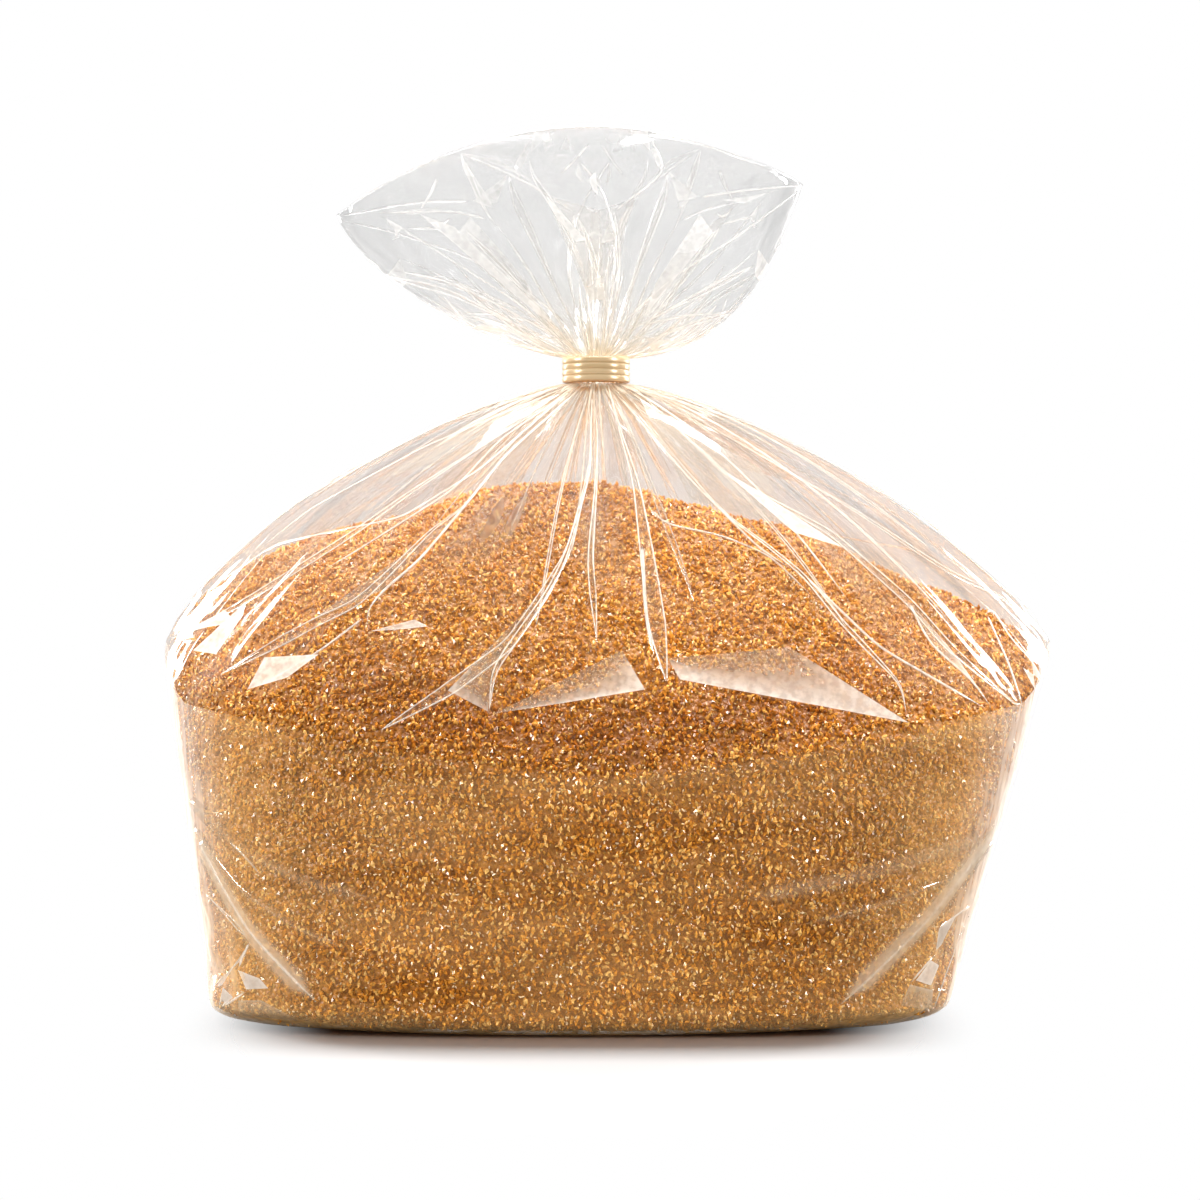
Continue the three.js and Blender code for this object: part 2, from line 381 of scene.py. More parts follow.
def tent_milk(angle, turn, z, number):
    """How milky the tent's film is: painted reflection panel by panel, and milk in a belt over the sugar
    and in streaks.
    """
    lowest = np.radians(4 + 14 * np.abs(np.sin(angle)) ** 3)
    panel = np.tile(PANEL_SHEEN, 2)[number] * smooth(0.7, 1.5, turn / lowest)
    belt = 0.05 * bump(z - HAZE_HEIGHT, HAZE_SPREAD)
    streaks = radial_streaks(angle, turn, 7, 17) + 0.5 * radial_streaks(angle, turn, 2.6, 18)
    veil = smooth(-0.1, 0.75, streaks) * mix(*VEIL_MILK, smooth(*VEIL_HEIGHTS, z))
    return panel + belt + veil * smooth(0, 0.3, turn)


def make_tent_film():
    """The film from the shoulder up to the neck: panels that sag a little between the pleats."""
    angle = directions(TENT_COLUMNS)
    turn = QUARTER * np.linspace(0, 1, TENT_LEVELS)[:, None] ** TENT_LEVEL_POWER
    base = tent_point(angle, turn)
    from_neck = np.linalg.norm(base - neck_point(angle, NECK_BOTTOM), axis=-1)
    lean = PANEL_LEAN * np.sin(3 * turn + 5 * np.sin(angle))
    panels = panel_share(angle + lean, PANEL_EDGES)
    height = tent_relief(angle, turn, base, from_neck, panels)
    points = base + ring_normals(base) * height[..., None]
    attributes = {
        # The film is tinted and milky near the neck where it is gathered; the strong part within a few mm
        # of the band is painted shade under the band.
        "gather": 0.55 * np.exp(-from_neck / 2.5) + 0.34 * np.exp(-from_neck / 13),
        "haze": tent_milk(angle, turn, base[..., 2], panels[0]),
        "pale": smooth(*WARM_HEIGHTS, base[..., 2]),
    }
    return loft("film_tent", points, attributes=attributes)


# ---------------------------------------------------------------- the wall's film

# Folds of the wall's film, each from one place to another, as degrees round the bag and a share
# of the wall's height, with a half-width and a height.
WALL_FOLDS = [
    ((198, 0.62), (234, 0.02), 3.4, 1.0), ((205, 0.42), (222, 0.05), 2.2, 0.8),
    ((335, 0.66), (307, 0.02), 3.6, 1.1), ((338, 0.52), (300, 0.30), 3.0, 0.5),
    ((330, 0.86), (292, 0.55), 3.5, 0.45), ((340, 0.40), (318, 0.04), 2.2, 0.8),
    ((196, 0.80), (222, 0.46), 2.8, 0.4), ((18, 0.62), (54, 0.02), 3.4, 1.0),
    ((25, 0.42), (42, 0.05), 2.2, 0.8), ((155, 0.66), (127, 0.02), 3.6, 1.1),
    ((158, 0.52), (120, 0.30), 3.0, 0.5), ((150, 0.86), (112, 0.55), 3.5, 0.45),
]
HIGHEST_FOLD = 1.4
WALL_COLUMNS = 600
WALL_LEVELS = 84
WALL_LEVEL_POWER = 1.35
UNDERSIDE_RINGS = 7
UNDERSIDE_HAZE = 0.1
SIDE_POWER = 6


def wall_relief(angle, share, base):
    """How far the wall's film stands off its plain form: folds, and facets at the corners."""
    height = np.zeros(base.shape[:2])
    for start, end, width, rise in WALL_FOLDS:
        ends = [wall_point(np.radians(degrees), part) for degrees, part in (start, end)]
        height += fold_line(base, *ends, width, rise)
    z = base[..., 2]
    crumple = np.clip(ear_share(angle) * 1.4, 0, 1) * smooth(34, 6, z)
    ear_facets = crumple * facet_field(angle / TURN * 90, z / 6, 31)
    side_facets = 0.2 * sideways(angle) ** SIDE_POWER * facet_field(angle / TURN * 40, z / 16, 32)
    free = smooth(0, 3, z) * smooth(1, 0.93, share)
    return np.minimum(height + free * (ear_facets + side_facets), HIGHEST_FOLD)


def wall_milk(angle, share, base):
    """How milky the wall's film is: where it touches the sugar, at the foot and near the sides."""
    patches = grain_noise(base * (0.6, 1, 2.2), 26, 12) + 0.6 * grain_noise(base * (0.5, 1, 3), 9, 13)
    contact = (0.055 + 0.06 * patches) * smooth(0, 0.04, 1 - share)
    foot = smooth(9, 2, base[..., 2])
    return np.clip(contact, 0, 1) + 0.05 * foot + 0.09 * bump(sideways(angle) - 0.82, 0.14)


def make_wall_film():
    """The film round the sugar from the flat underside to the shoulder."""
    angle = directions(WALL_COLUMNS)
    share = np.linspace(0, 1, WALL_LEVELS)[:, None] ** WALL_LEVEL_POWER
    base = wall_point(angle, share)
    points = base + ring_normals(base) * wall_relief(angle, share, base)[..., None]
    centre = np.array([BASE_SHIFT, 0, 0])
    inner = np.linspace(0.12, 0.94, UNDERSIDE_RINGS)[:, None, None]
    points = np.concatenate([centre + (points[:1] - centre) * inner, points])
    pad = np.full((UNDERSIDE_RINGS, WALL_COLUMNS), UNDERSIDE_HAZE)
    haze = wall_milk(angle, share, base)
    pale = np.broadcast_to(smooth(0.8, 0.97, sideways(angle)), haze.shape)
    attributes = {"haze": np.concatenate([pad, haze]), "pale": np.concatenate([pad, pale])}
    return loft("film_wall", points, ends=(centre, None), attributes=attributes)


# ---------------------------------------------------------------- the frill's film

FRILL_COLUMNS = 420
FRILL_LEVELS = 110
FRILL_FACET_HEIGHT = 1.5
FRILL_FINE_HEIGHT = 0.45
FRILL_RIPPLE_HEIGHT = 0.14
LIP_REACH = (0.12, 0.3)
LIP_RISE = (0.12, 0.1)


def frill_relief(angle, turn, base):
    """How far the frill's film stands off its plain form: facets, ripples and pleats."""
    from_neck = np.linalg.norm(base - neck_point(angle, NECK_TOP), axis=-1)
    lean = angle / TURN * 22 + 0.35 * np.sin(4 * turn)
    facets = FRILL_FACET_HEIGHT * facet_field(lean, turn * 4.2 + 0.25 * np.sin(9 * angle), 77)
    fine = FRILL_FINE_HEIGHT * facet_field(angle / TURN * 54, turn * 9, 78)
    ripple = radial_streaks(angle, turn, 3.0, 25) + 0.7 * radial_streaks(angle, turn, 6.5, 26)
    free = smooth(0, 12, from_neck) * smooth(1, 0.96, turn / QUARTER)
    slim = 1 - 0.85 * np.abs(np.cos(angle)) ** 5
    height = free * slim * (facets + fine + FRILL_RIPPLE_HEIGHT * ripple)
    pleats = np.cos(NECK_PLEATS * angle + 2 * np.sin(5 * angle)) * np.exp(-from_neck / 14)
    return height + NECK_PLEAT_HEIGHT * pleats * smooth(0, 4, from_neck)


def frill_milk(angle, turn, away):
    """How milky the frill's film is: streaks near the neck, and the crown between the tips."""
    streaks = radial_streaks(angle, turn, 5, 27)
    streaks = np.concatenate([streaks, np.zeros((len(LIP_REACH), FRILL_COLUMNS))])
    crown = smooth(0.5, 0.9, turn / QUARTER) * np.sin(angle) ** 2
    crown = np.concatenate([crown, *[crown[-1:]] * len(LIP_REACH)])
    return 0.02 + (0.16 + 0.14 * streaks) * np.exp(-away / 26) + 0.26 * crown


def make_frill_film():
    """The frill above the neck, creased into large flat facets."""
    angle = directions(FRILL_COLUMNS)
    turn = QUARTER * np.linspace(0, 1, FRILL_LEVELS)[:, None]
    base = frill_point(angle, turn)
    points = base + ring_normals(base) * frill_relief(angle, turn, base)[..., None]
    points = np.concatenate([points, rim_lip(points)])
    distance = np.linalg.norm(points - np.array([NECK_X, 0, NECK_TOP]), axis=-1)
    away = np.maximum(distance - NECK_RADIUS, 0)
    gather = 0.45 * np.exp(-away / 1.5) + 0.5 * np.exp(-away / 7)
    attributes = {"gather": gather, "haze": frill_milk(angle, turn, away)}
    return loft("film_frill", points, attributes=attributes)


def rim_lip(points):
    """A fine lip along the frill's cut edge, two rings that turn outwards."""
    rim = points[-1:]
    out = ring_normals(points)[-1:]
    return np.concatenate([rim + reach * out + (0, 0, up) for reach, up in zip(LIP_REACH, LIP_RISE)])


# ---------------------------------------------------------------- folds laid on the film

# Folds and milky facets are placed where the picture shows them, in its pixels, on the bag's
# front. The facets' milk is painted reflection of the lights, and the folds' milk is partly painted
# highlight along the creases. The back has the same ones, turned half round.

SEARCH_ROUNDS = 5
LINE_STEP = 6
LINE_SMOOTHINGS = 6
FACET_STEPS = 10
FACET_LIFT = 0.3
STREAK_STEPS = 22
STREAK_START = 0.01
TENT_STREAKS = 150
FRILL_STREAKS = 120
FOLD_LIFT = 0.15


def picture_place(points):
    """Where the camera sees points, in pixels of the picture."""
    scale = PIXELS_PER_MM * CAMERA_PLACE[1] / (CAMERA_PLACE[1] - points[..., 1])
    across = PICTURE_PIXELS / 2 + (points[..., 0] - CAMERA_PLACE[0]) * scale
    down = PICTURE_PIXELS / 2 + (CAMERA_PLACE[2] - points[..., 2]) * scale
    return np.stack([across, down], -1)


class Surface:
    """A film surface, with a search for the place on its front that shows at a pixel."""

    STEP = 1e-3

    def __init__(self, point, top):
        self.point, self.top = point, top
        angles, shares = np.linspace(math.pi, TURN, 241), np.linspace(0, top, 91)
        grid = np.meshgrid(angles, shares, indexing="ij")
        self.grid = np.stack(grid, -1).reshape(-1, 2)
        self.seen = picture_place(point(*self.grid.T))

    def inside(self, place):
        low, high = (math.pi, 2 * self.STEP), (TURN, self.top - 2 * self.STEP)
        return np.clip(place, low, high)

    def slopes(self, place):
        """The surface's points, and how they move with the direction and with the share."""
        here = self.point(*place.T)
        along = (self.point(*(place + (self.STEP, 0)).T) - here) / self.STEP
        up = (self.point(*(place + (0, self.STEP)).T) - here) / self.STEP
        return here, along, up

    def find(self, pixels):
        away = np.linalg.norm(self.seen[None] - pixels[:, None], axis=-1)
        place = self.inside(self.grid[np.argmin(away, axis=1)])
        for _ in range(SEARCH_ROUNDS):
            here, along, up = self.slopes(place)
            seen = picture_place(here)
            turned = (picture_place(here + along * self.STEP) - seen) / self.STEP
            raised = (picture_place(here + up * self.STEP) - seen) / self.STEP
            slope = np.stack([turned, raised], -1)
            back = np.swapaxes(slope, 1, 2)
            square = back @ slope + 200.0 * np.eye(2)
            change = np.linalg.solve(square, back @ (pixels - seen)[..., None])[..., 0]
            place = self.inside(place + np.clip(change, -0.03, 0.03))
        return place


def fold_profile(half, middle):
    """A fold's profile: its left half from the edge inwards, its middle, and its right half."""
    left = [(-1, *point) for point in half]
    right = [(1, *point) for point in reversed(half)]
    return *left, (0, 0, *middle), *right


# The half of a fold from its edge inwards: how far in from the edge in mm, the height as a share
# of the full height and the milkiness as a share of the fold's. Then the last two at its middle.
# The milkiness along the ridges is partly creased film and partly painted highlight along the crease.
RIDGE = fold_profile(((0, 0, 0), (0.12, 0.6, 0.8)), (1, 1))
BLADE = fold_profile(((0, 0, 0), (0.15, 0.7, 1), (0.3, 0.7, 1), (0.5, 0.3, 0.25)), (0.15, 0.12))
SOFT = fold_profile(((0, 0, 0), (0.8, 0.1, 0.25), (1.7, 0.25, 0.8)), (0.4, 1))


def lay_fold(surface, place, kind, half_width, haze):
    """A narrow fold along places on a surface: its points and how milky they are, the milk partly painted
    highlight along the crease.
    """
    here, along, up = surface.slopes(place)
    normal = unit(np.cross(along, up))
    run = unit(np.gradient(here, axis=0))
    side = unit(np.cross(run, normal))
    share = np.linspace(0, 1, len(place))
    if kind is BLADE:
        opening = mix(0.12, 1, smooth(0, 0.85, share))
        width = half_width * opening * np.clip((1 - share) / 0.2, 0, 1) ** 0.7
    else:
        width = half_width * np.clip(np.minimum(share / 0.03, (1 - share) / 0.15), 0, 1)
    points, milk = [], []
    for sign, inset, height, cloud in kind:
        reach = sign * np.maximum(width - inset, 0.0)
        lift = FOLD_LIFT + height * (0.1 + 0.22 * width) * np.minimum(1, width / 0.2)
        points.append(here + side * reach[:, None] + normal * lift[:, None])
        milk.append(cloud * haze * np.minimum(1, width / 0.12))
    return np.stack(points, 1), np.stack(milk, 1)


def lay_line(surface, pixels, kind, half_width, haze, turned):
    """A fold along a line of the picture, laid on the front or, turned half round, on the back."""
    pixels = np.array(pixels, float)
    length = np.concatenate([[0], np.cumsum(np.linalg.norm(np.diff(pixels, axis=0), axis=1))])
    at = np.linspace(0, length[-1], max(6, int(length[-1] / LINE_STEP)))
    line = np.stack([np.interp(at, length, pixels[:, i]) for i in (0, 1)], -1)
    for _ in range(LINE_SMOOTHINGS):
        line[1:-1] = (line[:-2] + 2 * line[1:-1] + line[2:]) / 4
    place = surface.find(line) + (turned, 0)
    return lay_fold(surface, place, kind, half_width, haze)


def lay_facet(surface, corners, haze, turned):
    """A flat milky facet of painted reflection between four pixels; haze at its first two corners and at
    its last two.
    """
    first, second, third, fourth = np.array(corners, float)
    step = np.linspace(0, 1, FACET_STEPS)
    down, across = (part[..., None] for part in np.meshgrid(step, step, indexing="ij"))
    pixels = mix(mix(first, second, across), mix(fourth, third, across), down)
    place = surface.find(pixels.reshape(-1, 2)) + (turned, 0)
    here, along, up = surface.slopes(place)
    points = here + unit(np.cross(along, up)) * FACET_LIFT
    border = np.maximum(np.abs(2 * across - 1), np.abs(2 * down - 1))[..., 0] ** 5
    milk = mix(haze[0], haze[1], down[..., 0]) * mix(0.85, 1.2, border)
    return points.reshape(FACET_STEPS, FACET_STEPS, 3), np.clip(milk, 0, 1)


def lay_streaks(surface, count, seed, start, reach):
    """Fine random folds that spread from the neck, shorter ones more often than long ones."""
    rng = np.random.default_rng(seed)
    parts = []
    for i in range(count):
        direction = (i + rng.uniform(-0.6, 0.6)) * TURN / count
        end = mix(start, reach, rng.uniform(0.12, 1) ** 1.8)
        share = np.linspace(start, end, STREAK_STEPS)
        bend = 0.03 * rng.normal() * np.linspace(0, 1, STREAK_STEPS)
        sway = bend + 0.01 * np.sin(np.linspace(0, 7, STREAK_STEPS) + i)
        place = np.stack([direction + sway, share], -1)
        kind = BLADE if i % 4 == 0 else RIDGE
        width = rng.uniform(0.5, 0.9) if kind is BLADE else rng.uniform(0.16, 0.36)
        parts.append(lay_fold(surface, place, kind, width, rng.uniform(0.3, 0.9)))
    return parts


def sheets(name, parts, thin_is_warm=True):
    """One mesh of many small open grids of points, with how milky and how gathered they are."""
    places, quads, milk, total = [], [], [], 0
    for points, haze in parts:
        rows, columns = points.shape[:2]
        row, column = np.meshgrid(np.arange(rows - 1), np.arange(columns - 1), indexing="ij")
        here = (total + row * columns + column).ravel()
        quads.append(np.stack([here, here + 1, here + columns + 1, here + columns], -1))
        places.append(points.reshape(-1, 3))
        milk.append(haze.ravel())
        total += rows * columns
    co = np.concatenate(places)
    middle = np.array([NECK_X, 0, (NECK_BOTTOM + NECK_TOP) / 2])
    gather = np.exp(-np.maximum(np.linalg.norm(co - middle, axis=-1) - NECK_RADIUS, 0) / 15)
    milk = np.concatenate(milk)
    pale = (smooth(0.3, 0.75, milk) if thin_is_warm else 1.0) * (1 - gather**1.6)
    attributes = {"haze": milk, "gather": gather, "pale": pale}
    return mesh_object(name, co * MM, np.concatenate(quads), np.zeros((0, 3), int), attributes)


# Each fold: its kind, half-width in mm, milkiness and line in the picture. Those of the tent and
# the frill run outwards from the neck, or cross a panel.
TENT_FOLDS = (
    (BLADE, 1.3, 0.9, ((571, 391), (469, 455), (408, 495), (357, 532), (326, 552), (285, 578),
     (248, 601), (176, 640))),
    (RIDGE, 0.40, 0.9, ((575, 394), (506, 455), (463, 509), (420, 560), (382, 592), (367, 610),
     (364, 624), (370, 632))),
    (BLADE, 1.5, 0.7, ((506, 455), (463, 509), (433, 529), (394, 569), (357, 604), (322, 620),
     (219, 676))),
    (RIDGE, 0.35, 0.8, ((364, 618), (322, 650), (270, 682), (248, 690))),
    (BLADE, 1.7, 0.8, ((592, 400), (590, 466), (569, 552), (540, 600), (510, 645), (449, 690),
     (380, 731))),
    (BLADE, 0.9, 0.9, ((589, 397), (592, 466), (581, 506), (566, 556), (549, 592), (520, 633),
     (493, 672), (489, 714))),
    (BLADE, 0.9, 0.9, ((594, 397), (598, 440), (596, 487), (590, 560), (597, 643))),
    (BLADE, 2.1, 0.9, ((608, 386), (620, 431), (636, 482), (646, 548), (656, 620), (667, 684))),
    (RIDGE, 0.45, 1.0, ((642, 545), (645, 602), (648, 629), (654, 655))),
    (BLADE, 0.8, 0.9, ((623, 389), (668, 449), (725, 515), (770, 548), (806, 578), (839, 620),
     (902, 686), (906, 716))),
    (RIDGE, 0.35, 0.7, ((620, 398), (689, 479), (758, 548), (800, 575))),
    (RIDGE, 0.40, 0.8, ((806, 578), (878, 647), (914, 668), (989, 711))),
    (BLADE, 1.5, 0.85, ((635, 389), (731, 479), (830, 533), (908, 602), (950, 650), (1022, 711))),
    (RIDGE, 0.40, 0.8, ((908, 602), (929, 644), (974, 683), (992, 710))),
    (BLADE, 0.9, 0.8, ((650, 392), (758, 455), (851, 509), (947, 572), (1004, 599), (1048, 641))),
    (RIDGE, 0.35, 0.8, ((623, 385), (752, 425), (851, 473), (914, 512), (1033, 614), (1046, 641))),
    (RIDGE, 0.40, 1.0, ((986, 614), (989, 603), (1010, 640), (1031, 659), (1043, 683))),
    (RIDGE, 0.40, 1.0, ((986, 614), (1010, 668), (1023, 710))),
    (RIDGE, 0.35, 0.6, ((650, 509), (662, 524), (722, 536), (770, 556), (815, 600))),
    (RIDGE, 0.30, 0.8, ((563, 386), (440, 425), (385, 454), (288, 508), (229, 561), (177, 613))),
    (RIDGE, 0.35, 0.8, ((566, 388), (425, 447), (311, 509), (252, 556))),
    (RIDGE, 0.35, 0.8, ((571, 391), (480, 470), (402, 518), (276, 544), (181, 610))),
    (RIDGE, 0.35, 0.7, ((571, 392), (500, 440), (454, 490), (351, 555), (311, 578))),
)
# Each facet, a milky patch of painted reflection of the lights: milkiness at its first two corners and at
# its last two, and its corners.
TENT_SHEEN_FACETS = (
    ((0.95, 0.9), ((247, 602), (244, 616), (217, 655), (194, 651))),
    ((0.9, 0.9), ((226, 611), (237, 624), (204, 628), (171, 640))),
    ((0.85, 0.9), ((319, 655), (265, 658), (248, 690), (288, 678))),
    ((0.3, 0.95), ((668, 659), (790, 648), (908, 723), (680, 680))),
    ((0.3, 0.8), ((494, 714), (622, 651), (645, 690), (560, 704))),
    ((0.8, 0.85), ((725, 473), (758, 492), (842, 548), (794, 533))),
    ((0.15, 0.5), ((560, 575), (492, 668), (488, 712), (448, 691))),
    ((0.7, 0.9), ((1031, 662), (1043, 683), (1022, 668), (1034, 690))),
    ((0.7, 0.9), ((370, 632), (415, 620), (428, 627), (400, 630))),
    ((0.2, 0.3), ((463, 509), (385, 590), (310, 622), (425, 540))),
    ((0.3, 0.75), ((908, 602), (929, 644), (974, 683), (950, 650))),
    ((0.35, 0.2), ((640, 400), (760, 470), (800, 530), (690, 500))),
    ((0.3, 0.2), ((560, 395), (480, 420), (380, 480), (470, 455))),
)
# Folds of the wall: soft pale bands whose milk is partly painted sheen of shallow wrinkles, and crease
# lines at the bottom corners.
WALL_LINES = (
    (SOFT, 2.6, 0.16, ((980, 838), (930, 855), (840, 880), (741, 900))),
    (SOFT, 1.6, 0.14, ((994, 840), (960, 875), (880, 905), (800, 925))),
    (SOFT, 2.0, 0.16, ((190, 800), (240, 850), (300, 880), (380, 900))),
    (SOFT, 1.6, 0.16, ((192, 825), (240, 890), (300, 930), (350, 950))),
    (SOFT, 3.4, 0.5, ((200, 843), (222, 885), (249, 931), (285, 970), (318, 1003))),
    (RIDGE, 0.4, 0.8, ((200, 843), (222, 885), (249, 931), (285, 970), (318, 1003))),
    (BLADE, 0.8, 0.7, ((202, 890), (225, 912), (249, 938))),
    (RIDGE, 0.35, 0.5, ((228, 840), (245, 855), (262, 876))),
    (RIDGE, 0.35, 0.9, ((251, 941), (243, 955), (239, 969))),
    (RIDGE, 0.30, 0.9, ((223, 1007), (235, 999), (247, 991))),
    (SOFT, 3.4, 0.5, ((1002, 818), (980, 850), (930, 915), (880, 965), (837, 1007))),
    (RIDGE, 0.35, 0.6, ((1002, 820), (980, 853), (930, 918), (880, 968), (837, 1008))),
    (RIDGE, 0.35, 0.9, ((974, 903), (955, 915), (938, 928))),
    (RIDGE, 0.35, 0.9, ((935, 954), (922, 968), (909, 984))),
    (RIDGE, 0.35, 0.8, ((970, 910), (950, 960), (932, 1012))),
)
# Milky facets of the wall at the bottom corners, as painted reflection of the lights: milkiness at their
# first two corners and at their last two, and their corners.
WALL_SHEEN_FACETS = (
    ((0.6, 0.7), ((249, 944), (240, 962), (210, 989), (223, 985))),
    ((0.95, 0.95), ((239, 970), (260, 978), (269, 988), (247, 989))),
    ((0.9, 0.9), ((224, 987), (234, 997), (220, 1009), (221, 1000))),
    ((0.4, 0.2), ((239, 1000), (262, 1000), (300, 1020), (240, 1014))),
    ((0.8, 0.8), ((938, 928), (955, 915), (940, 945), (935, 950))),
    ((0.9, 0.8), ((930, 960), (915, 980), (930, 985), (938, 965))),
    ((0.5, 0.2), ((909, 984), (932, 990), (930, 1010), (900, 1005))),
)
FRILL_FOLDS = (
    (RIDGE, 0.30, 0.9, ((563, 341), (514, 299), (475, 275), (416, 237), (377, 213))),
    (RIDGE, 0.30, 0.8, ((488, 219), (455, 211), (420, 211), (384, 213))),
    (RIDGE, 0.25, 0.9, ((420, 211), (433, 190), (438, 170), (440, 182), (422, 208))),
    (BLADE, 0.8, 0.8, ((504, 234), (488, 217), (474, 185), (460, 154))),
    (RIDGE, 0.28, 0.9, ((545, 192), (499, 169), (460, 153))),
    (BLADE, 0.8, 0.8, ((590, 330), (586, 279), (568, 231), (545, 192), (530, 174), (529, 157))),
    (RIDGE, 0.30, 0.8, ((575, 345), (561, 325), (529, 270), (504, 234))),
    (BLADE, 0.7, 0.8, ((568, 342), (538, 304), (491, 255), (465, 229))),
    (BLADE, 0.9, 0.8, ((563, 344), (514, 323), (449, 291), (385, 275))),
    (RIDGE, 0.30, 0.9, ((556, 336), (498, 304), (446, 280), (392, 270))),
    (RIDGE, 0.30, 0.9, ((525, 333), (492, 330), (470, 326), (455, 310), (441, 292))),
    (BLADE, 0.5, 0.8, ((385, 274), (377, 260), (363, 257))),
    (RIDGE, 0.30, 1.0, ((625, 320), (674, 276), (736, 237), (805, 186))),
    (RIDGE, 0.28, 0.9, ((700, 197), (744, 190), (805, 185))),
    (BLADE, 1.1, 0.8, ((610, 335), (630, 290), (651, 231), (666, 190), (668, 171))),
    (RIDGE, 0.28, 0.9, ((614, 211), (625, 203), (668, 170), (646, 131))),
    (BLADE, 1.0, 0.8, ((625, 345), (645, 327), (695, 263), (721, 225))),
    (RIDGE, 0.28, 0.9, ((721, 224), (738, 220), (753, 216))),
    (RIDGE, 0.28, 0.9, ((716, 212), (721, 224), (732, 209))),
    (BLADE, 0.8, 0.9, ((630, 331), (658, 315), (723, 282), (754, 265))),
    (RIDGE, 0.28, 0.8, ((664, 312), (731, 273), (750, 255), (758, 249))),
    (BLADE, 0.7, 0.9, ((630, 347), (661, 335), (706, 318), (736, 313))),
    (RIDGE, 0.28, 0.7, ((640, 325), (690, 314), (736, 313), (744, 296), (760, 284))),
    (RIDGE, 0.28, 0.8, ((630, 336), (651, 338), (691, 344))),
    (RIDGE, 0.28, 0.9, ((560, 174), (577, 159), (591, 141))),
    (RIDGE, 0.28, 0.8, ((577, 159), (597, 180), (609, 206), (615, 237))),
    (BLADE, 0.6, 0.8, ((607, 335), (620, 275), (617, 237), (614, 211))),
    (BLADE, 0.7, 0.8, ((603, 340), (607, 315), (601, 283), (588, 240), (577, 215))),
)
# Milky facets of the frill, as painted reflection of the lights: milkiness at their first two corners and
# at their last two, and their corners.
FRILL_SHEEN_FACETS = (
    ((0.7, 0.9), ((420, 214), (455, 227), (558, 326), (538, 314))),
    ((0.7, 0.5), ((460, 154), (491, 201), (493, 208), (478, 203))),
    ((0.5, 0.9), ((461, 153), (498, 159), (532, 181), (506, 168))),
    ((0.8, 0.8), ((546, 195), (586, 240), (576, 242), (553, 211))),
    ((0.7, 0.7), ((470, 327), (481, 324), (525, 333), (491, 331))),
    ((0.7, 0.4), ((386, 218), (403, 227), (392, 240), (400, 237))),
    ((0.9, 0.9), ((548, 132), (553, 144), (546, 151), (543, 141))),
    ((0.4, 0.3), ((566, 135), (574, 151), (566, 150), (560, 149))),
    ((0.7, 0.85), ((776, 190), (752, 196), (722, 200), (744, 203))),
    ((0.5, 0.95), ((669, 172), (698, 197), (690, 199), (678, 201))),
    ((0.4, 0.6), ((630, 131), (648, 131), (650, 151), (641, 141))),
    ((0.8, 0.8), ((656, 149), (663, 163), (658, 167), (651, 148))),
    ((0.95, 0.7), ((700, 214), (713, 232), (645, 315), (655, 284))),
    ((0.9, 0.9), ((758, 249), (768, 265), (760, 282), (754, 275))),
    ((0.8, 0.8), ((648, 339), (664, 341), (654, 351), (650, 346))),
    ((0.5, 0.7), ((578, 161), (584, 183), (580, 180), (576, 175))),
    ((0.8, 0.8), ((589, 180), (595, 172), (598, 195), (593, 190))),
    ((0.3, 0.7), ((610, 218), (614, 240), (607, 241), (601, 243))),
    ((0.25, 0.3), ((545, 195), (600, 210), (605, 300), (590, 300))),
)


def laid_on(surface, folds, facets):
    """The folds and facets of a surface, first on its front and then on its back."""
    parts = []
    for turned in (0.0, math.pi):
        parts += [lay_line(surface, line, kind, width, haze, turned) for kind, width, haze, line in folds]
        parts += [lay_facet(surface, corners, haze, turned) for haze, corners in facets]
    return parts


def make_wall_folds():
    return sheets("wall_folds", laid_on(Surface(wall_point, 1.0), WALL_LINES, WALL_SHEEN_FACETS))


def make_tent_folds():
    tent = Surface(tent_point, QUARTER)
    parts = laid_on(tent, TENT_FOLDS, TENT_SHEEN_FACETS)
    parts += lay_streaks(tent, TENT_STREAKS, 3, QUARTER - STREAK_START, 0.35)
    return sheets("tent_folds", parts)


def make_frill_folds():
    frill = Surface(frill_point, QUARTER)
    parts = laid_on(frill, FRILL_FOLDS, FRILL_SHEEN_FACETS)
    parts += lay_streaks(frill, FRILL_STREAKS, 4, STREAK_START, 1.0)
    return sheets("frill_folds", parts, thin_is_warm=False)


# ---------------------------------------------------------------- the sugar

MOUND_X = -2.0
MOUND_TOP = 120.0
MOUND_POWER = {"left": 1.75, "right": 1.25, "front": 1.22}
CLEARANCE = 1.4
SIDE_CLEARANCE = 1.9
FLOOR_CLEARANCE = 0.9
CORE_BOTTOM = 0.6
CORE_COLUMNS = 420
CORE_WALL_LEVELS = 56
CORE_MOUND_LEVELS = 84
MOUND_LUMPS = 1.6
# Painted shade on the sugar: a band this far above the shoulder with this spread, fading out between
# these distances to either side of the middle.
SHADE_BAND_ABOVE_SHOULDER = 8
SHADE_BAND_SPREAD = 9
SHADE_BAND_HALF_WIDTHS = (78, 42)


def core_wall(angle):
    """The sugar's side, a little clear of the film."""
    share = mix(0.004, 0.97, np.linspace(0, 1, CORE_WALL_LEVELS)[:, None] ** 1.4)
    wall = wall_point(angle, share)
    sideness = sideways(angle) ** SIDE_POWER
    clearance = mix(CLEARANCE, SIDE_CLEARANCE, sideness * smooth(15, 45, wall[..., 2]))
    clearance = mix(FLOOR_CLEARANCE, clearance, smooth(0, 10, wall[..., 2]))
    wall = wall - ring_normals(wall) * clearance[..., None]
    wall[..., 2] = np.maximum(wall[..., 2], CORE_BOTTOM)
    return wall


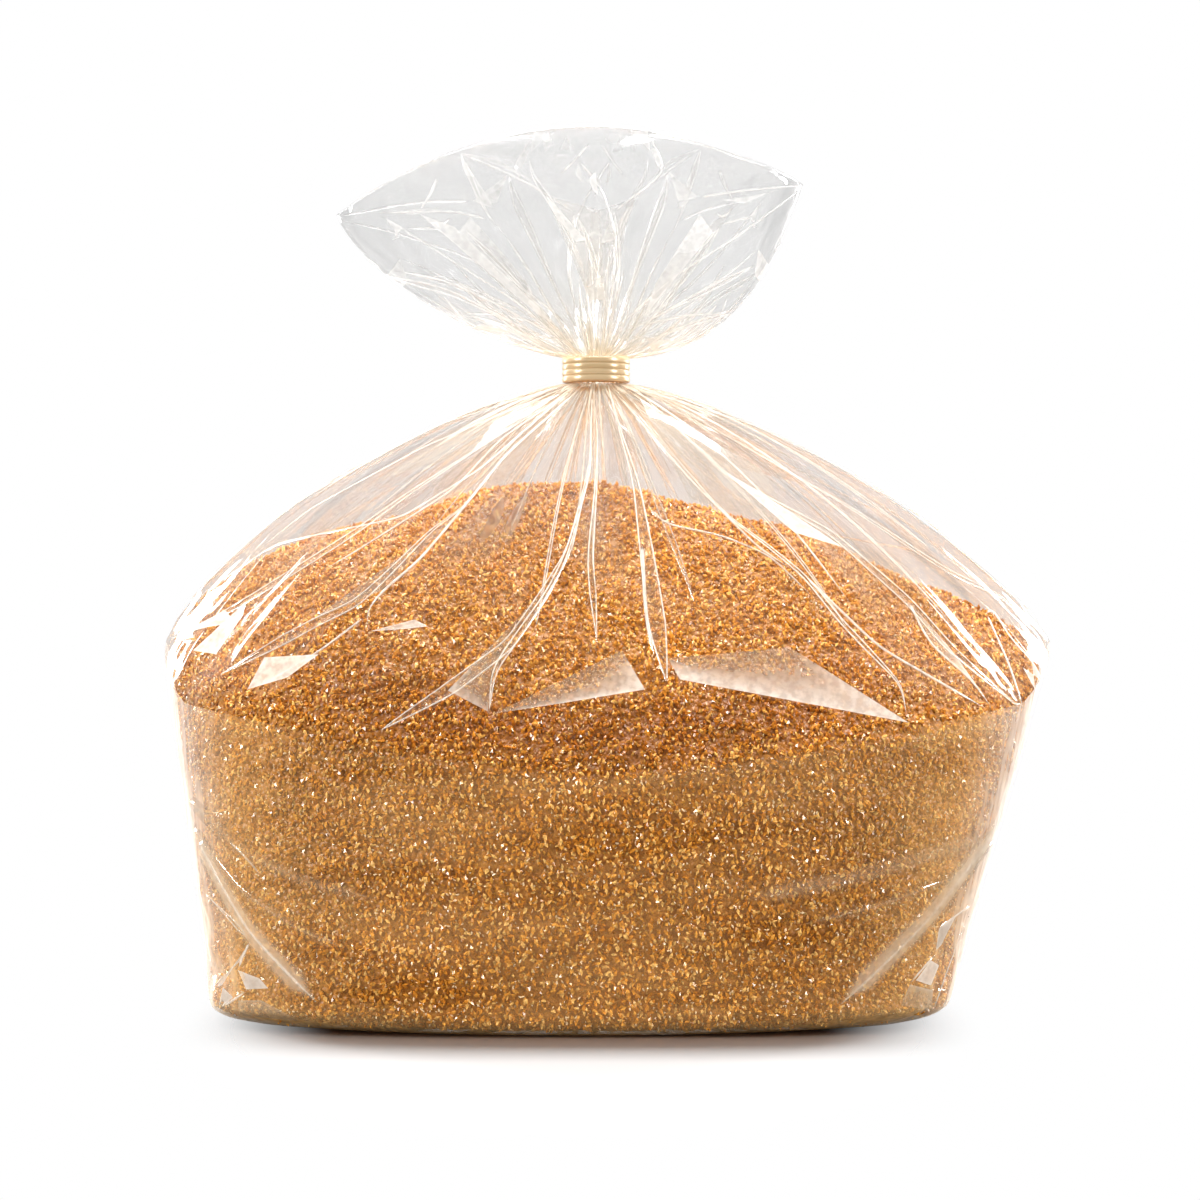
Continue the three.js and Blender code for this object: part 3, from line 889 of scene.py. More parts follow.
def core_mound(angle, rim, apex):
    """The heap over the shoulder, from its rim up to its top, with soft lumps."""
    turn = np.linspace(0, QUARTER, CORE_MOUND_LEVELS + 1)[1:-1, None]
    side_power = np.where(np.cos(angle) < 0, MOUND_POWER["left"], MOUND_POWER["right"])
    power = mix(MOUND_POWER["front"], side_power, np.cos(angle) ** 2)
    out = np.cos(turn) ** (2 / power)
    rise = np.sin(turn) ** (2 / power)
    level = mix(apex[:2], rim[..., :2], out[..., None])
    z = mix(rim[..., 2], MOUND_TOP, rise)
    lumps = grain_noise(np.stack([level[..., 0], level[..., 1], 0 * z], -1), 22, 3)
    z = z + MOUND_LUMPS * lumps * out * rise * 3
    return np.concatenate([level, z[..., None]], -1)


def make_sugar_core():
    """The heap of sugar inside the film, with a grainy skin."""
    angle = directions(CORE_COLUMNS)
    apex = np.array([MOUND_X, 0, MOUND_TOP])
    wall = core_wall(angle)
    points = np.concatenate([wall, core_mound(angle, wall[-1:], apex)])
    relief = 0.3 * grain_noise(points, 1.3, 8) + 0.25 * grain_noise(points, 2.9, 9)
    points = points + ring_normals(points) * relief[..., None]
    floor = np.array([BASE_SHIFT, 0, CORE_BOTTOM])
    # Painted shade in a band a little above the shoulder, strongest in the middle of the front and the
    # back.
    above = points[..., 2] - shoulder_height(angle)
    shoulder_shade = bump(above - SHADE_BAND_ABOVE_SHOULDER, SHADE_BAND_SPREAD)
    shoulder_shade = shoulder_shade * smooth(*SHADE_BAND_HALF_WIDTHS, np.abs(points[..., 0]))
    return loft("sugar_core", points, ends=(floor, apex), attributes={"shoulder_shade": shoulder_shade})


# ---------------------------------------------------------------- node helpers


class Nodes:
    """Adds nodes to a tree and links them, with sockets given by name or number."""

    def __init__(self, tree):
        self.tree = tree

    def add(self, kind, settings=None, **inputs):
        node = self.tree.nodes.new(kind)
        for key, value in (settings or {}).items():
            setattr(node, key, value)
        for key, value in inputs.items():
            self.feed(node, key.replace("_", " "), value)
        return node

    def feed(self, node, key, value):
        socket = node.inputs[key]
        if isinstance(value, bpy.types.NodeSocket):
            self.tree.links.new(value, socket)
        else:
            socket.default_value = value

    def math(self, operation, first, second=0.0, clamp=False):
        node = self.tree.nodes.new("ShaderNodeMath")
        node.operation, node.use_clamp = operation, clamp
        self.feed(node, 0, first)
        self.feed(node, 1, second)
        return node.outputs[0]


    def attribute(self, name):
        return self.add("ShaderNodeAttribute", {"attribute_name": name}).outputs["Fac"]

    def range(self, value, source, target=(0.0, 1.0), kind="LINEAR"):
        """A value moved from one range to another, and kept inside it."""
        node = self.add("ShaderNodeMapRange", {"interpolation_type": kind}, Value=value)
        for label, limits in (("From", source), ("To", target)):
            self.feed(node, label + " Min", limits[0])
            self.feed(node, label + " Max", limits[1])
        return node.outputs[0]

    def blend(self, share, first, second, how="MIX"):
        """Two colours, blended by the second one's share."""
        node = self.add("ShaderNodeMix", {"data_type": "RGBA", "blend_type": how})
        for socket, value in ((0, share), (6, first), (7, second)):
            self.feed(node, socket, value)
        return node.outputs[2]

    def layer(self, share, first, second):
        """Two shaders, mixed by the second one's share."""
        node = self.add("ShaderNodeMixShader", Fac=share)
        self.feed(node, 1, first.outputs[0])
        self.feed(node, 2, second.outputs[0])
        return node

    def stretch(self, place, scale, location=(0, 0, 0)):
        """A place scaled by itself along each axis."""
        node = self.add("ShaderNodeMapping", Vector=place)
        self.feed(node, "Location", location)
        self.feed(node, "Scale", scale)
        return node.outputs[0]

    def above(self, value, limit):
        node = self.add("FunctionNodeCompare", {"operation": "GREATER_THAN"})
        self.feed(node, "A", value)
        self.feed(node, "B", limit)
        return node.outputs[0]

    def random(self, seed, low=0.0, high=1.0):
        """A random number for each point."""
        node = self.add("FunctionNodeRandomValue", {"data_type": "FLOAT"}, Seed=seed)
        self.feed(node, 2, low)
        self.feed(node, 3, high)
        return node.outputs[1]


def new_material(name):
    material = bpy.data.materials.new(name)
    material.use_nodes = True
    material.node_tree.nodes.clear()
    return material, Nodes(material.node_tree)


def new_growth(name, inputs, output):
    """A Geometry Nodes tree with its sockets: the tree, its nodes and what it is given."""
    tree = bpy.data.node_groups.new(name, "GeometryNodeTree")
    for label, kind in inputs:
        tree.interface.new_socket(name=label, in_out="INPUT", socket_type="NodeSocket" + kind)
    tree.interface.new_socket(name=output, in_out="OUTPUT", socket_type="NodeSocketGeometry")
    n = Nodes(tree)
    return tree, n, n.add("NodeGroupInput")


def end_growth(n, geometry, material, output):
    """Ends a tree with plain geometry in its material."""
    solid = n.add("GeometryNodeRealizeInstances", Geometry=geometry)
    dressed = n.add("GeometryNodeSetMaterial", Geometry=solid.outputs[0], Material=material)
    n.add("NodeGroupOutput", **{output: dressed.outputs[0]})


# ---------------------------------------------------------------- loose crystals

# Each kind: its colour, half its length and thickness in mm, and how many on a square centimetre.
CRYSTAL_KINDS = {
    "pale": {"colour": (0.78, 0.445, 0.125), "size": (0.74, 0.46), "density": 38, "seed": 1},
    "golden": {"colour": (0.64, 0.285, 0.042), "size": (0.78, 0.50), "density": 38, "seed": 2},
    "amber": {"colour": (0.52, 0.20, 0.021), "size": (0.78, 0.52), "density": 38, "seed": 3},
    "dark": {"colour": (0.38, 0.13, 0.011), "size": (0.74, 0.50), "density": 34, "seed": 4},
    # Small cream chips: partly pale crystals, partly painted glints that stand in for the lights'
    # sparkle.
    "cream": {"colour": (0.92, 0.70, 0.42), "size": (0.42, 0.22), "density": 34, "seed": 6},
}
CM2_PER_M2 = 1e4
CRYSTAL_SCALES = (0.7, 1.25)
CRYSTAL_LIFTS = (-0.25, 0.3)
LOWEST_CRYSTAL = 1.9
UNDERSIDE_SLOPE = -0.97
CRYSTAL_SOCKETS = (("Surface", "Geometry"), ("Crystals per square metre", "Float"),
                   ("Smallest scale", "Float"), ("Largest scale", "Float"), ("Seed", "Int"))


def make_crystal(name, tip, side):
    """A sharp double pyramid, flattened and skewed as a broken crystal is, with painted light at its tips
    and painted shade round its middle.
    """
    places = [(tip, 0, 0), (-tip * 0.9, 0.1, 0), (0.1, side, 0.1),
              (-0.1, -side, 0.05), (0.05, 0, side * 0.8), (0, 0.1, -side * 0.8)]
    faces = [(0, 2, 4), (2, 1, 4), (1, 3, 4), (3, 0, 4), (2, 0, 5), (1, 2, 5), (3, 1, 5), (0, 3, 5)]
    tip_light_middle_shade = (1.6, 1.45, 0.95, 0.75, 0.6, 0.6)
    mesh = bpy.data.meshes.new(name)
    mesh.from_pydata([tuple(c * MM for c in p) for p in places], [], faces)
    mesh.attributes.new("tip_light_middle_shade", "FLOAT", "POINT").data.foreach_set("value", tip_light_middle_shade)
    return bpy.data.objects.new(name, mesh)


def crystal_tree(name, crystal, material):
    """Scatters a crystal over a surface at random, all but the underside."""
    tree, n, given = new_growth(name, CRYSTAL_SOCKETS, "Crystals")
    seed = given.outputs["Seed"]
    facing = n.add("ShaderNodeSeparateXYZ", Vector=n.add("GeometryNodeInputNormal").outputs[0])
    place = n.add("ShaderNodeSeparateXYZ", Vector=n.add("GeometryNodeInputPosition").outputs[0])
    both = n.add("FunctionNodeBooleanMath", {"operation": "AND"})
    n.feed(both, 0, n.above(facing.outputs["Z"], UNDERSIDE_SLOPE))
    n.feed(both, 1, n.above(place.outputs["Z"], LOWEST_CRYSTAL * MM))
    points = n.add("GeometryNodeDistributePointsOnFaces", Mesh=given.outputs["Surface"],
                   Selection=both.outputs[0], Density=given.outputs["Crystals per square metre"],
                   Seed=seed)
    lift = n.add("ShaderNodeVectorMath", {"operation": "SCALE"})
    n.feed(lift, 0, points.outputs["Normal"])
    n.feed(lift, "Scale", n.random(seed, *(height * MM for height in CRYSTAL_LIFTS)))
    placed = n.add("GeometryNodeSetPosition", Geometry=points.outputs["Points"], Offset=lift.outputs[0])
    spin = n.add("FunctionNodeRandomValue", {"data_type": "FLOAT_VECTOR"}, Seed=seed)
    n.feed(spin, 0, (0.0, 0.0, 0.0))
    n.feed(spin, 1, (TURN, TURN, TURN))
    scale = n.random(seed, given.outputs["Smallest scale"], given.outputs["Largest scale"])
    shape = n.add("GeometryNodeObjectInfo", Object=crystal)
    copies = n.add("GeometryNodeInstanceOnPoints", Points=placed.outputs[0],
                   Instance=shape.outputs["Geometry"], Rotation=spin.outputs[0], Scale=scale)
    marked = n.add("GeometryNodeStoreNamedAttribute", {"data_type": "FLOAT", "domain": "INSTANCE"},
                   Geometry=copies.outputs[0], Name="tone", Value=n.random(seed))
    end_growth(n, marked.outputs[0], material, "Crystals")
    return tree


def grow(name, source, tree, values):
    """Runs a node tree on a copy of source and keeps its result as a plain mesh."""
    holder = bpy.data.objects.new(name + "_holder", source.data)
    bpy.context.scene.collection.objects.link(holder)
    modifier = holder.modifiers.new(name, "NODES")
    modifier.node_group = tree
    for item in tree.interface.items_tree:
        if item.in_out == "INPUT" and item.name in values:
            modifier[item.identifier] = values[item.name]
    graph = bpy.context.evaluated_depsgraph_get()
    mesh = bpy.data.meshes.new_from_object(holder.evaluated_get(graph))
    bpy.data.objects.remove(holder)
    mesh.name = name
    piece = bpy.data.objects.new(name, mesh)
    bpy.context.scene.collection.objects.link(piece)
    return piece


def make_crystals(core):
    """The loose crystals over the sugar core, one piece for each kind."""
    smallest, largest = CRYSTAL_SCALES
    pieces = []
    for kind, facts in CRYSTAL_KINDS.items():
        crystal = make_crystal("crystal_" + kind, *facts["size"])
        bpy.context.scene.collection.objects.link(crystal)
        material = sugar_material("sugar_" + kind, facts["colour"])
        tree = crystal_tree("scatter_" + kind, crystal, material)
        values = {"Crystals per square metre": facts["density"] * CM2_PER_M2,
                  "Smallest scale": smallest, "Largest scale": largest, "Seed": facts["seed"]}
        pieces.append(grow("sugar_" + kind, core, tree, values))
        bpy.data.objects.remove(crystal)
    return pieces


# ---------------------------------------------------------------- the neck band


BAND_CREST = 0.15
BAND_CREST_POWER = 0.3
BAND_PROFILE_POINTS = 122
BAND_SIDES = 128
BAND_LIP_SHARE = 0.06
BAND_END_SHARE = 0.05
BAND_SIZES = ("Inner radius", "Outer radius", "Height", "Rib relief", "Rib count")


def band_profile(n, given):
    """The place of each point of the band's profile: out along x, and up along y."""
    index = n.add("GeometryNodeInputIndex").outputs[0]
    share = n.math("DIVIDE", index, BAND_PROFILE_POINTS - 1.0)
    raised = n.math("SUBTRACT", share, BAND_LIP_SHARE)
    lifted = n.math("MULTIPLY", raised, 1 / (1 - 2 * BAND_LIP_SHARE), clamp=True)
    ribs = n.math("MULTIPLY", n.math("MULTIPLY", lifted, math.pi), given.outputs["Rib count"])
    crest = n.math("POWER", n.math("ABSOLUTE", n.math("SINE", ribs)), BAND_CREST_POWER)
    dip = n.math("MULTIPLY", n.math("SUBTRACT", 1.0, crest), given.outputs["Rib relief"])
    outer = n.math("SUBTRACT", given.outputs["Outer radius"], dip)
    nearest_end = n.math("MINIMUM", share, n.math("SUBTRACT", 1.0, share))
    filled = n.math("MULTIPLY", nearest_end, 1 / BAND_END_SHARE, clamp=True)
    thickness = n.math("SUBTRACT", outer, given.outputs["Inner radius"])
    radius = n.math("ADD", given.outputs["Inner radius"], n.math("MULTIPLY", thickness, filled))
    height = n.math("MULTIPLY", lifted, given.outputs["Height"])
    return n.add("ShaderNodeCombineXYZ", X=radius, Y=height).outputs[0]


def band_tree(material):
    """A ribbed closed profile swept round the neck."""
    sockets = (("Start", "Geometry"), *((label, "Float") for label in BAND_SIZES))
    tree, n, given = new_growth("ribbed_band", sockets, "Band")
    line = n.add("GeometryNodeMeshLine", {"mode": "OFFSET"}, Count=BAND_PROFILE_POINTS)
    profile = n.add("GeometryNodeSetPosition", Geometry=line.outputs[0], Position=band_profile(n, given))
    curve = n.add("GeometryNodeMeshToCurve", Mesh=profile.outputs[0])
    shut = n.add("GeometryNodeSetSplineCyclic", Geometry=curve.outputs[0], Cyclic=True)
    path = n.add("GeometryNodeCurvePrimitiveCircle", Resolution=BAND_SIDES)
    n.feed(path, "Radius", 0.1 * MM)
    swept = n.add("GeometryNodeCurveToMesh", Curve=path.outputs[0])
    n.feed(swept, "Profile Curve", shut.outputs[0])
    soft = n.add("GeometryNodeSetShadeSmooth", Geometry=swept.outputs[0])
    end_growth(n, soft.outputs[0], material, "Band")
    return tree


def make_neck_band(start):
    """The ribbed band, grown at the origin and moved to the neck."""
    sizes = (BAND_INNER_RADIUS * MM, (BAND_OUTER_RADIUS + BAND_CREST) * MM,
             (BAND_TOP - BAND_BOTTOM) * MM, BAND_RIB_RELIEF * MM, float(BAND_RIBS))
    band = grow("tie_band", start, band_tree(band_material()), dict(zip(BAND_SIZES, sizes)))
    co = np.zeros(len(band.data.vertices) * 3, np.float32)
    band.data.vertices.foreach_get("co", co)
    co = co.reshape(-1, 3)
    co[:, 2] -= (co[:, 2].min() + co[:, 2].max()) / 2
    co += np.array([NECK_X, 0, (BAND_BOTTOM + BAND_TOP) / 2], np.float32) * MM
    band.data.vertices.foreach_set("co", co.ravel())
    return band


# ---------------------------------------------------------------- materials

CLEAREST = (0.975, 0.973, 0.97, 1)
TENT_CLEARNESS = (0.955, 0.947, 0.938, 1)
FRILL_CLEARNESS = (0.937, 0.936, 0.935, 1)
# The tint where the film is gathered at the neck, which on the tent also carries painted shade just under
# the band.
GATHERED_TINT = (0.88, 0.78, 0.61, 1)
GATHERED_MILK = 0.2
MILK_GLOW = 0.3
MOST_MIRROR = 0.22
FILM_ROUGHNESS = 0.06
FILM_IOR = 1.5
UPRIGHT_SCALE = (600, 600, 45)
STREAK_SIZE = 1.6
# Relief of the film: the size of its waves and their depth, in mm.
FINE, CRISP, BROAD = (2.2, 0.012), (2.4, 0.028), (3.6, 0.022)


def slant_milk_and_sheen(n, place, strength, upright):
    """Milkiness where the film is seen at a slant, partly the film's own milk and partly painted sheen,
    drawn out into upright streaks if it has them.
    """
    slant = n.add("ShaderNodeLayerWeight", Blend=0.5).outputs["Facing"]
    edge = n.math("MULTIPLY", n.math("POWER", slant, strength[0]), strength[1])
    if upright:
        drawn = n.stretch(place, UPRIGHT_SCALE)
        lines = n.add("ShaderNodeTexNoise", Vector=drawn, Scale=1.0, Detail=2.0).outputs[0]
        edge = n.math("MULTIPLY", edge, n.range(lines, (0.35, 0.65), (1 - upright, 1 + upright)))
    return edge


def streaked_haze(n, place, streak):
    """The film's own milkiness, with thin places in it if it has streaks."""
    haze = n.attribute("haze")
    if streak:
        size = STREAK_SIZE * MM
        grain = n.add("ShaderNodeTexNoise", Vector=place, Scale=1 / size, Detail=3.0).outputs[0]
        haze = n.math("MULTIPLY", haze, n.range(grain, (0.38, 0.6), (1 - streak, 1.0)))
    return haze


def with_shine(n, place, crinkle, body):
    """The film's two glossy faces over its body, with fine wrinkles in what they mirror."""
    size, depth = crinkle
    waves = n.add("ShaderNodeTexNoise", Vector=place, Scale=1 / (size * MM), Detail=2.0)
    relief = n.add("ShaderNodeBump", Strength=1.0, Distance=depth * MM, Height=waves.outputs[0])
    shine = n.add("ShaderNodeBsdfAnisotropic", Roughness=FILM_ROUGHNESS, Normal=relief.outputs[0])
    mirror = n.add("ShaderNodeFresnel", IOR=FILM_IOR, Normal=relief.outputs[0]).outputs[0]
    both_faces = n.math("DIVIDE", n.math("MULTIPLY", mirror, 2.0), n.math("ADD", mirror, 1.0))
    return n.layer(n.math("MINIMUM", both_faces, MOST_MIRROR), body, shine)


def film_material(name, cloud_colour, warm_colour, crinkle, clearness=CLEAREST, streak=0.0,
                  edge_haze=(3.0, 0.15), upright=0.0):
    """Clear film: see-through, glossy, and milky where it is gathered or seen at a slant, the slant's
    milk partly painted sheen.
    """
    material, n = new_material(name)
    place = n.add("ShaderNodeTexCoord").outputs["Object"]
    gather = n.attribute("gather")
    clear = n.add("ShaderNodeBsdfTransparent", Color=n.blend(gather, clearness, GATHERED_TINT))
    cloud = n.blend(n.attribute("pale"), warm_colour, cloud_colour)
    cloudy = n.add("ShaderNodeBsdfDiffuse", Color=cloud)
    through = n.add("ShaderNodeBsdfTranslucent", Color=cloud)
    milk = n.layer(MILK_GLOW, cloudy, through)
    gathered = n.math("MULTIPLY", gather, GATHERED_MILK)
    amount = n.math("ADD", gathered, streaked_haze(n, place, streak))
    amount = n.math("ADD", amount, slant_milk_and_sheen(n, place, edge_haze, upright), clamp=True)
    surface = with_shine(n, place, crinkle, n.layer(amount, clear, milk))
    n.add("ShaderNodeOutputMaterial", Surface=surface.outputs[0])
    return material


# The colour that the sugar's colour is multiplied by where its painted shade is full.
SHOULDER_SHADE_TINT = (0.74, 0.62, 0.42, 1)
CORE_DARK = (0.30, 0.10, 0.009, 1)
CORE_LIGHT = (0.58, 0.235, 0.030, 1)
GRAINS_PER_METRE = 950.0
PATCHES_PER_METRE = 70.0


def with_shoulder_shade(n, colour):
    """A colour that is darker and richer where the sugar has painted shade, in a band above the shoulder.
    """
    return n.blend(n.attribute("shoulder_shade"), colour, SHOULDER_SHADE_TINT, "MULTIPLY")


def sugar_material(name, colour):
    """Crystals of sugar, each of a slightly different tone, with glassy faces."""
    material, n = new_material(name)
    place = n.add("ShaderNodeTexCoord").outputs["Object"]
    patch = n.add("ShaderNodeTexNoise", Vector=place, Scale=PATCHES_PER_METRE, Detail=2.0).outputs[0]
    shade = n.math("ADD", n.math("MULTIPLY", n.attribute("tone"), 0.55), n.math("MULTIPLY", patch, 0.5))
    # The tone is multiplied by the crystal's painted light at its tips and painted shade round its
    # middle.
    shade = n.math("MULTIPLY", n.math("ADD", shade, 0.47), n.attribute("tip_light_middle_shade"))
    tinted = n.blend(1.0, (*colour, 1), shade, "MULTIPLY")
    glass = n.add("ShaderNodeBsdfPrincipled", Roughness=0.13, Specular_IOR_Level=0.6)
    n.feed(glass, "Base Color", with_shoulder_shade(n, tinted))
    n.add("ShaderNodeOutputMaterial", Surface=glass.outputs[0])
    return material


def core_material():
    """The sugar between the loose crystals, grainy and a little darker, as painted shade in the gaps
    between them.
    """
    material, n = new_material("sugar_core")
    place = n.add("ShaderNodeTexCoord").outputs["Object"]
    grains = n.add("ShaderNodeTexVoronoi", Vector=place, Scale=GRAINS_PER_METRE)
    ramp = n.add("ShaderNodeValToRGB", Fac=grains.outputs["Color"])
    for end, colour in zip(ramp.color_ramp.elements, (CORE_DARK, CORE_LIGHT)):
        end.color = colour
    relief = n.add("ShaderNodeBump", Strength=1.0, Distance=0.5 * MM, Height=grains.outputs["Distance"])
    relief.invert = True
    skin = n.add("ShaderNodeBsdfPrincipled", Roughness=0.45, Normal=relief.outputs[0])
    n.feed(skin, "Base Color", with_shoulder_shade(n, ramp.outputs[0]))
    n.add("ShaderNodeOutputMaterial", Surface=skin.outputs[0])
    return material


BAND_DARK = (0.58, 0.41, 0.215, 1)
BAND_LIGHT = (0.70, 0.53, 0.32, 1)
BAND_LINE_SCALE = (40, 40, 2600)


def band_material():
    """Champagne-beige satin with fine lines round the neck."""
    material, n = new_material("band_satin")
    place = n.stretch(n.add("ShaderNodeTexCoord").outputs["Object"], BAND_LINE_SCALE)
    lines = n.add("ShaderNodeTexNoise", Vector=place, Scale=1.0, Detail=2.0)
    ramp = n.add("ShaderNodeValToRGB", Fac=lines.outputs[0])
    ends = zip(ramp.color_ramp.elements, (0.3, 0.7), (BAND_DARK, BAND_LIGHT))
    for end, position, colour in ends:
        end.position, end.color = position, colour
    relief = n.add("ShaderNodeBump", Strength=0.5, Distance=0.04 * MM, Height=lines.outputs[0])
    satin = n.add("ShaderNodeBsdfPrincipled", Roughness=0.28, Metallic=0.15, Normal=relief.outputs[0])
    n.feed(satin, "Base Color", ramp.outputs[0])
    n.add("ShaderNodeOutputMaterial", Surface=satin.outputs[0])
    return material


# ---------------------------------------------------------------- studio

FLOOR_RADIUS = 900
FLOOR_RINGS = 24
FLOOR_SIDES = 96
FLOOR_OVAL = 0.5
FLOOR_FADE = (0.055, 0.09)
FLOOR_PALE = (0.75, 0.75, 0.75, 1)
FLOOR_MIRRORED = (0.06, 0.055, 0.05, 1)


def floor_material():
    """Matt and pale, dark to what mirrors it, and gone beyond an oval round the bag's base."""
    material, n = new_material("pale_floor")
    place = n.add("ShaderNodeTexCoord").outputs["Object"]
    oval = n.stretch(place, (1, FLOOR_OVAL, 1), (-BASE_SHIFT * MM, 0, 0))
    away = n.add("ShaderNodeVectorMath", {"operation": "LENGTH"})
    n.feed(away, 0, oval)
    fade = n.range(away.outputs["Value"], FLOOR_FADE, kind="SMOOTHSTEP")
    mirrored = n.add("ShaderNodeLightPath").outputs["Is Glossy Ray"]
    matt = n.add("ShaderNodeBsdfDiffuse", Color=n.blend(mirrored, FLOOR_PALE, FLOOR_MIRRORED))
    surface = n.layer(fade, matt, n.add("ShaderNodeBsdfTransparent"))
    n.add("ShaderNodeOutputMaterial", Surface=surface.outputs[0])
    return material


def make_floor():
    """A pale round floor that fades into the white surroundings."""
    around = directions(FLOOR_SIDES)[0]
    points = [
        np.stack([radius * np.cos(around), radius * np.sin(around), np.zeros(FLOOR_SIDES)], -1)
        for radius in np.linspace(FLOOR_RADIUS, 20, FLOOR_RINGS)
    ]
    floor = loft("studio_floor", np.array(points), ends=(None, (0, 0, 0)))
    floor.data.materials.append(floor_material())


def make_softbox(name, place, aim, size, power, lit=None, mirrored=True):
    light = bpy.data.lights.new(name, "AREA")
    light.shape = "RECTANGLE"
    light.size, light.size_y = size
    light.energy = power
    box = bpy.data.objects.new(name, light)
    box.location = place
    box.rotation_euler = (Vector(aim) - Vector(place)).to_track_quat("-Z", "Y").to_euler()
    box.visible_camera = False
    box.visible_glossy = mirrored
    box.light_linking.receiver_collection = lit
    bpy.context.scene.collection.objects.link(box)


def collect(name, pieces):
    """A collection of the pieces that a light falls on."""
    collection = bpy.data.collections.new(name)
    for piece in pieces:
        collection.objects.link(piece)
    return collection


LIGHT_AIM = (0, 0, 0.09)
FILL_AIM = (0, 0, 0.02)


def make_lights(pieces, tent, wall):
    """Two keys and a low fill that are flagged off the floor, a top light and two rims.

    The keys are flagged off the tent's film too, which would mirror them as white patches. Two
    more lights graze the wall's film from the sides, and light nothing else.
    """
    keyed = collect("lit_by_the_keys", [piece for piece in pieces if piece is not tent])
    bag, milky = collect("lit_by_the_fill", pieces), collect("lit_by_the_grazers", [wall])
    make_softbox("key_left", (-0.95, -0.42, 0.43), LIGHT_AIM, (0.25, 0.4), 12.5, keyed)
    make_softbox("key_right", (0.95, -0.42, 0.41), LIGHT_AIM, (0.2, 0.45), 11.0, keyed)
    make_softbox("low_fill", (0, -1.1, 0.1), FILL_AIM, (1.2, 0.15), 2.7, bag, mirrored=False)
    for side, label, power in ((-1, "left", 10.0), (1, "right", 9.0)):
        place = (0.9 * side, -0.5, 0.15)
        make_softbox("graze_" + label, place, LIGHT_AIM, (0.3, 0.5), power, milky, mirrored=False)
    make_softbox("top", (0.0, 0.2, 1.05), LIGHT_AIM, (0.65, 0.4), 11.5)
    for side, label in ((-1, "left"), (1, "right")):
        make_softbox("rim_" + label, (0.8 * side, 0.7, 0.35), LIGHT_AIM, (0.2, 0.7), 5.0)


ROOM_DIM = 0.06
ROOM_TINT = (1, 0.985, 0.965, 1)


def make_world():
    """White to the eye; in reflections a room that is dim in front and bright above and behind."""
    world = bpy.data.worlds.new("studio")
    bpy.context.scene.world = world
    world.use_nodes = True
    world.node_tree.nodes.clear()
    n = Nodes(world.node_tree)
    way = n.add("ShaderNodeTexCoord").outputs["Generated"]
    split = n.add("ShaderNodeSeparateXYZ", Vector=way)
    openness = n.math("ADD", n.math("MULTIPLY", split.outputs["Y"], 0.8), split.outputs["Z"])
    spread = n.range(openness, (0.2, 1.0), (ROOM_DIM, 1.0), "SMOOTHSTEP")
    room = n.add("ShaderNodeBackground", Color=ROOM_TINT, Strength=spread)
    white = n.add("ShaderNodeBackground", Color=(1, 1, 1, 1), Strength=1.0)
    seen = n.add("ShaderNodeLightPath").outputs["Is Camera Ray"]
    n.add("ShaderNodeOutputWorld", Surface=n.layer(seen, room, white).outputs[0])


SENSOR = 36.0


def make_camera():
    """A level camera in front of the bag."""
    data = bpy.data.cameras.new("camera")
    data.sensor_width = SENSOR
    data.lens = SENSOR * PIXELS_PER_MM * -CAMERA_PLACE[1] / PICTURE_PIXELS
    data.clip_start, data.clip_end = 0.01, 20
    camera = bpy.data.objects.new("camera", data)
    camera.location = Vector(CAMERA_PLACE) * MM
    camera.rotation_euler = (QUARTER, 0, 0)
    bpy.context.scene.collection.objects.link(camera)
    bpy.context.scene.camera = camera


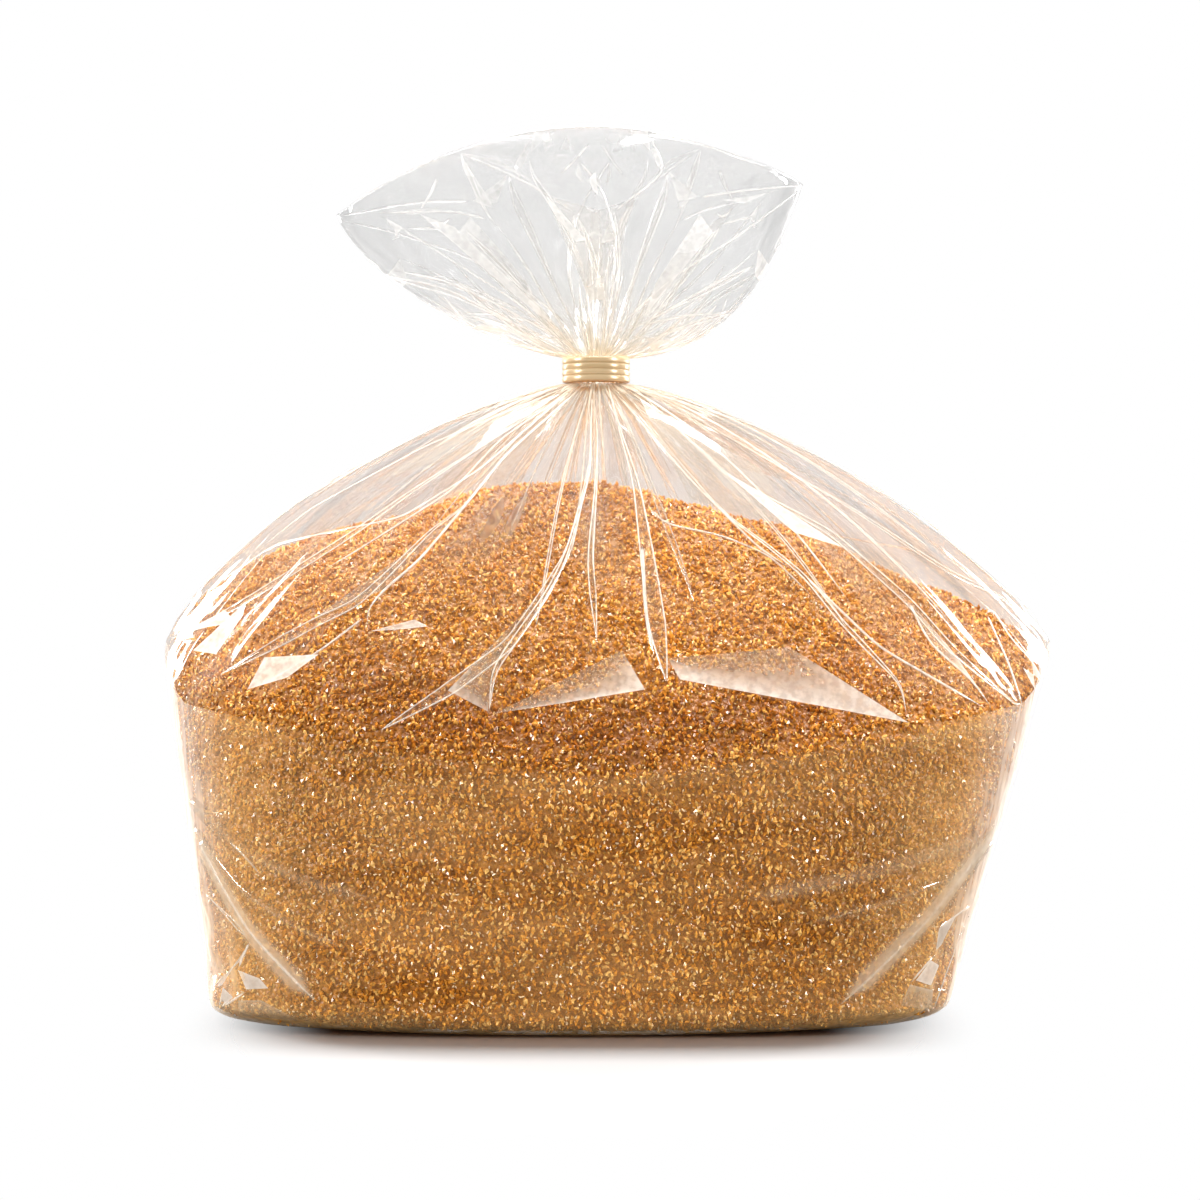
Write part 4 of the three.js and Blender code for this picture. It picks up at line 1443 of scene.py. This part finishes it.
def set_look():
    """Plain colours, and enough bounces for light to cross all the layers of film."""
    scene = bpy.context.scene
    scene.view_settings.view_transform = "Standard"
    scene.cycles.transparent_max_bounces = 48
    scene.cycles.max_bounces = 8
    scene.cycles.use_denoising = True


# ---------------------------------------------------------------- putting it together


def dress(piece, material, slot_name, *stands_for):
    """Gives a piece its material, attaches it to the root and hides the parts that it stands for."""
    if material:
        piece.data.materials.clear()
        piece.data.materials.append(material)
    if slot_name == "film":  # light falls on the sugar as if the film were not there
        piece.visible_shadow = False
        piece.visible_diffuse = False
    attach(piece, "root")
    if stands_for:
        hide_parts(*stands_for)


def main():
    make_camera()
    core = make_sugar_core()
    crystals = make_crystals(core)
    wall, tent, frill = make_wall_film(), make_tent_film(), make_frill_film()
    wall_folds, tent_folds, frill_folds = make_wall_folds(), make_tent_folds(), make_frill_folds()
    band = make_neck_band(core)
    white, grey = (0.80, 0.795, 0.785, 1), (0.74, 0.74, 0.735, 1)
    cream, warm = (1.0, 0.95, 0.87, 1), (1.0, 0.66, 0.30, 1)
    dim, amber = (0.43, 0.435, 0.44, 1), (0.46, 0.325, 0.165, 1)
    ivory, tan_above = (0.95, 0.89, 0.80, 1), (0.54, 0.45, 0.33, 1)
    tan, peach = (1.0, 0.85, 0.62, 1), (0.50, 0.42, 0.31, 1)
    dress(core, core_material(), "sugar", "bag")
    for piece in crystals:
        dress(piece, None, "sugar", "bag")
    wall_film = film_material("film_wall", cream, warm, FINE, edge_haze=(2.3, 0.8), upright=0.35)
    dress(wall, wall_film, "film", "bag")
    dress(tent, film_material("film_tent", dim, amber, CRISP, TENT_CLEARNESS), "film", "bag")
    dress(frill, film_material("film_frill", grey, grey, BROAD, FRILL_CLEARNESS), "film", "bag")
    dress(wall_folds, film_material("wall_folds", cream, tan, BROAD, streak=0.2), "film", "bag")
    dress(tent_folds, film_material("tent_folds", ivory, tan_above, BROAD, streak=0.3), "film", "bag")
    dress(frill_folds, film_material("frill_folds", white, peach, BROAD, streak=0.25), "film", "bag")
    dress(band, None, "band", "neck_band")
    make_floor()
    films = [wall, tent, frill, wall_folds, tent_folds, frill_folds]
    make_lights([core, *crystals, *films, band], tent, wall)
    make_world()
    set_look()


main()
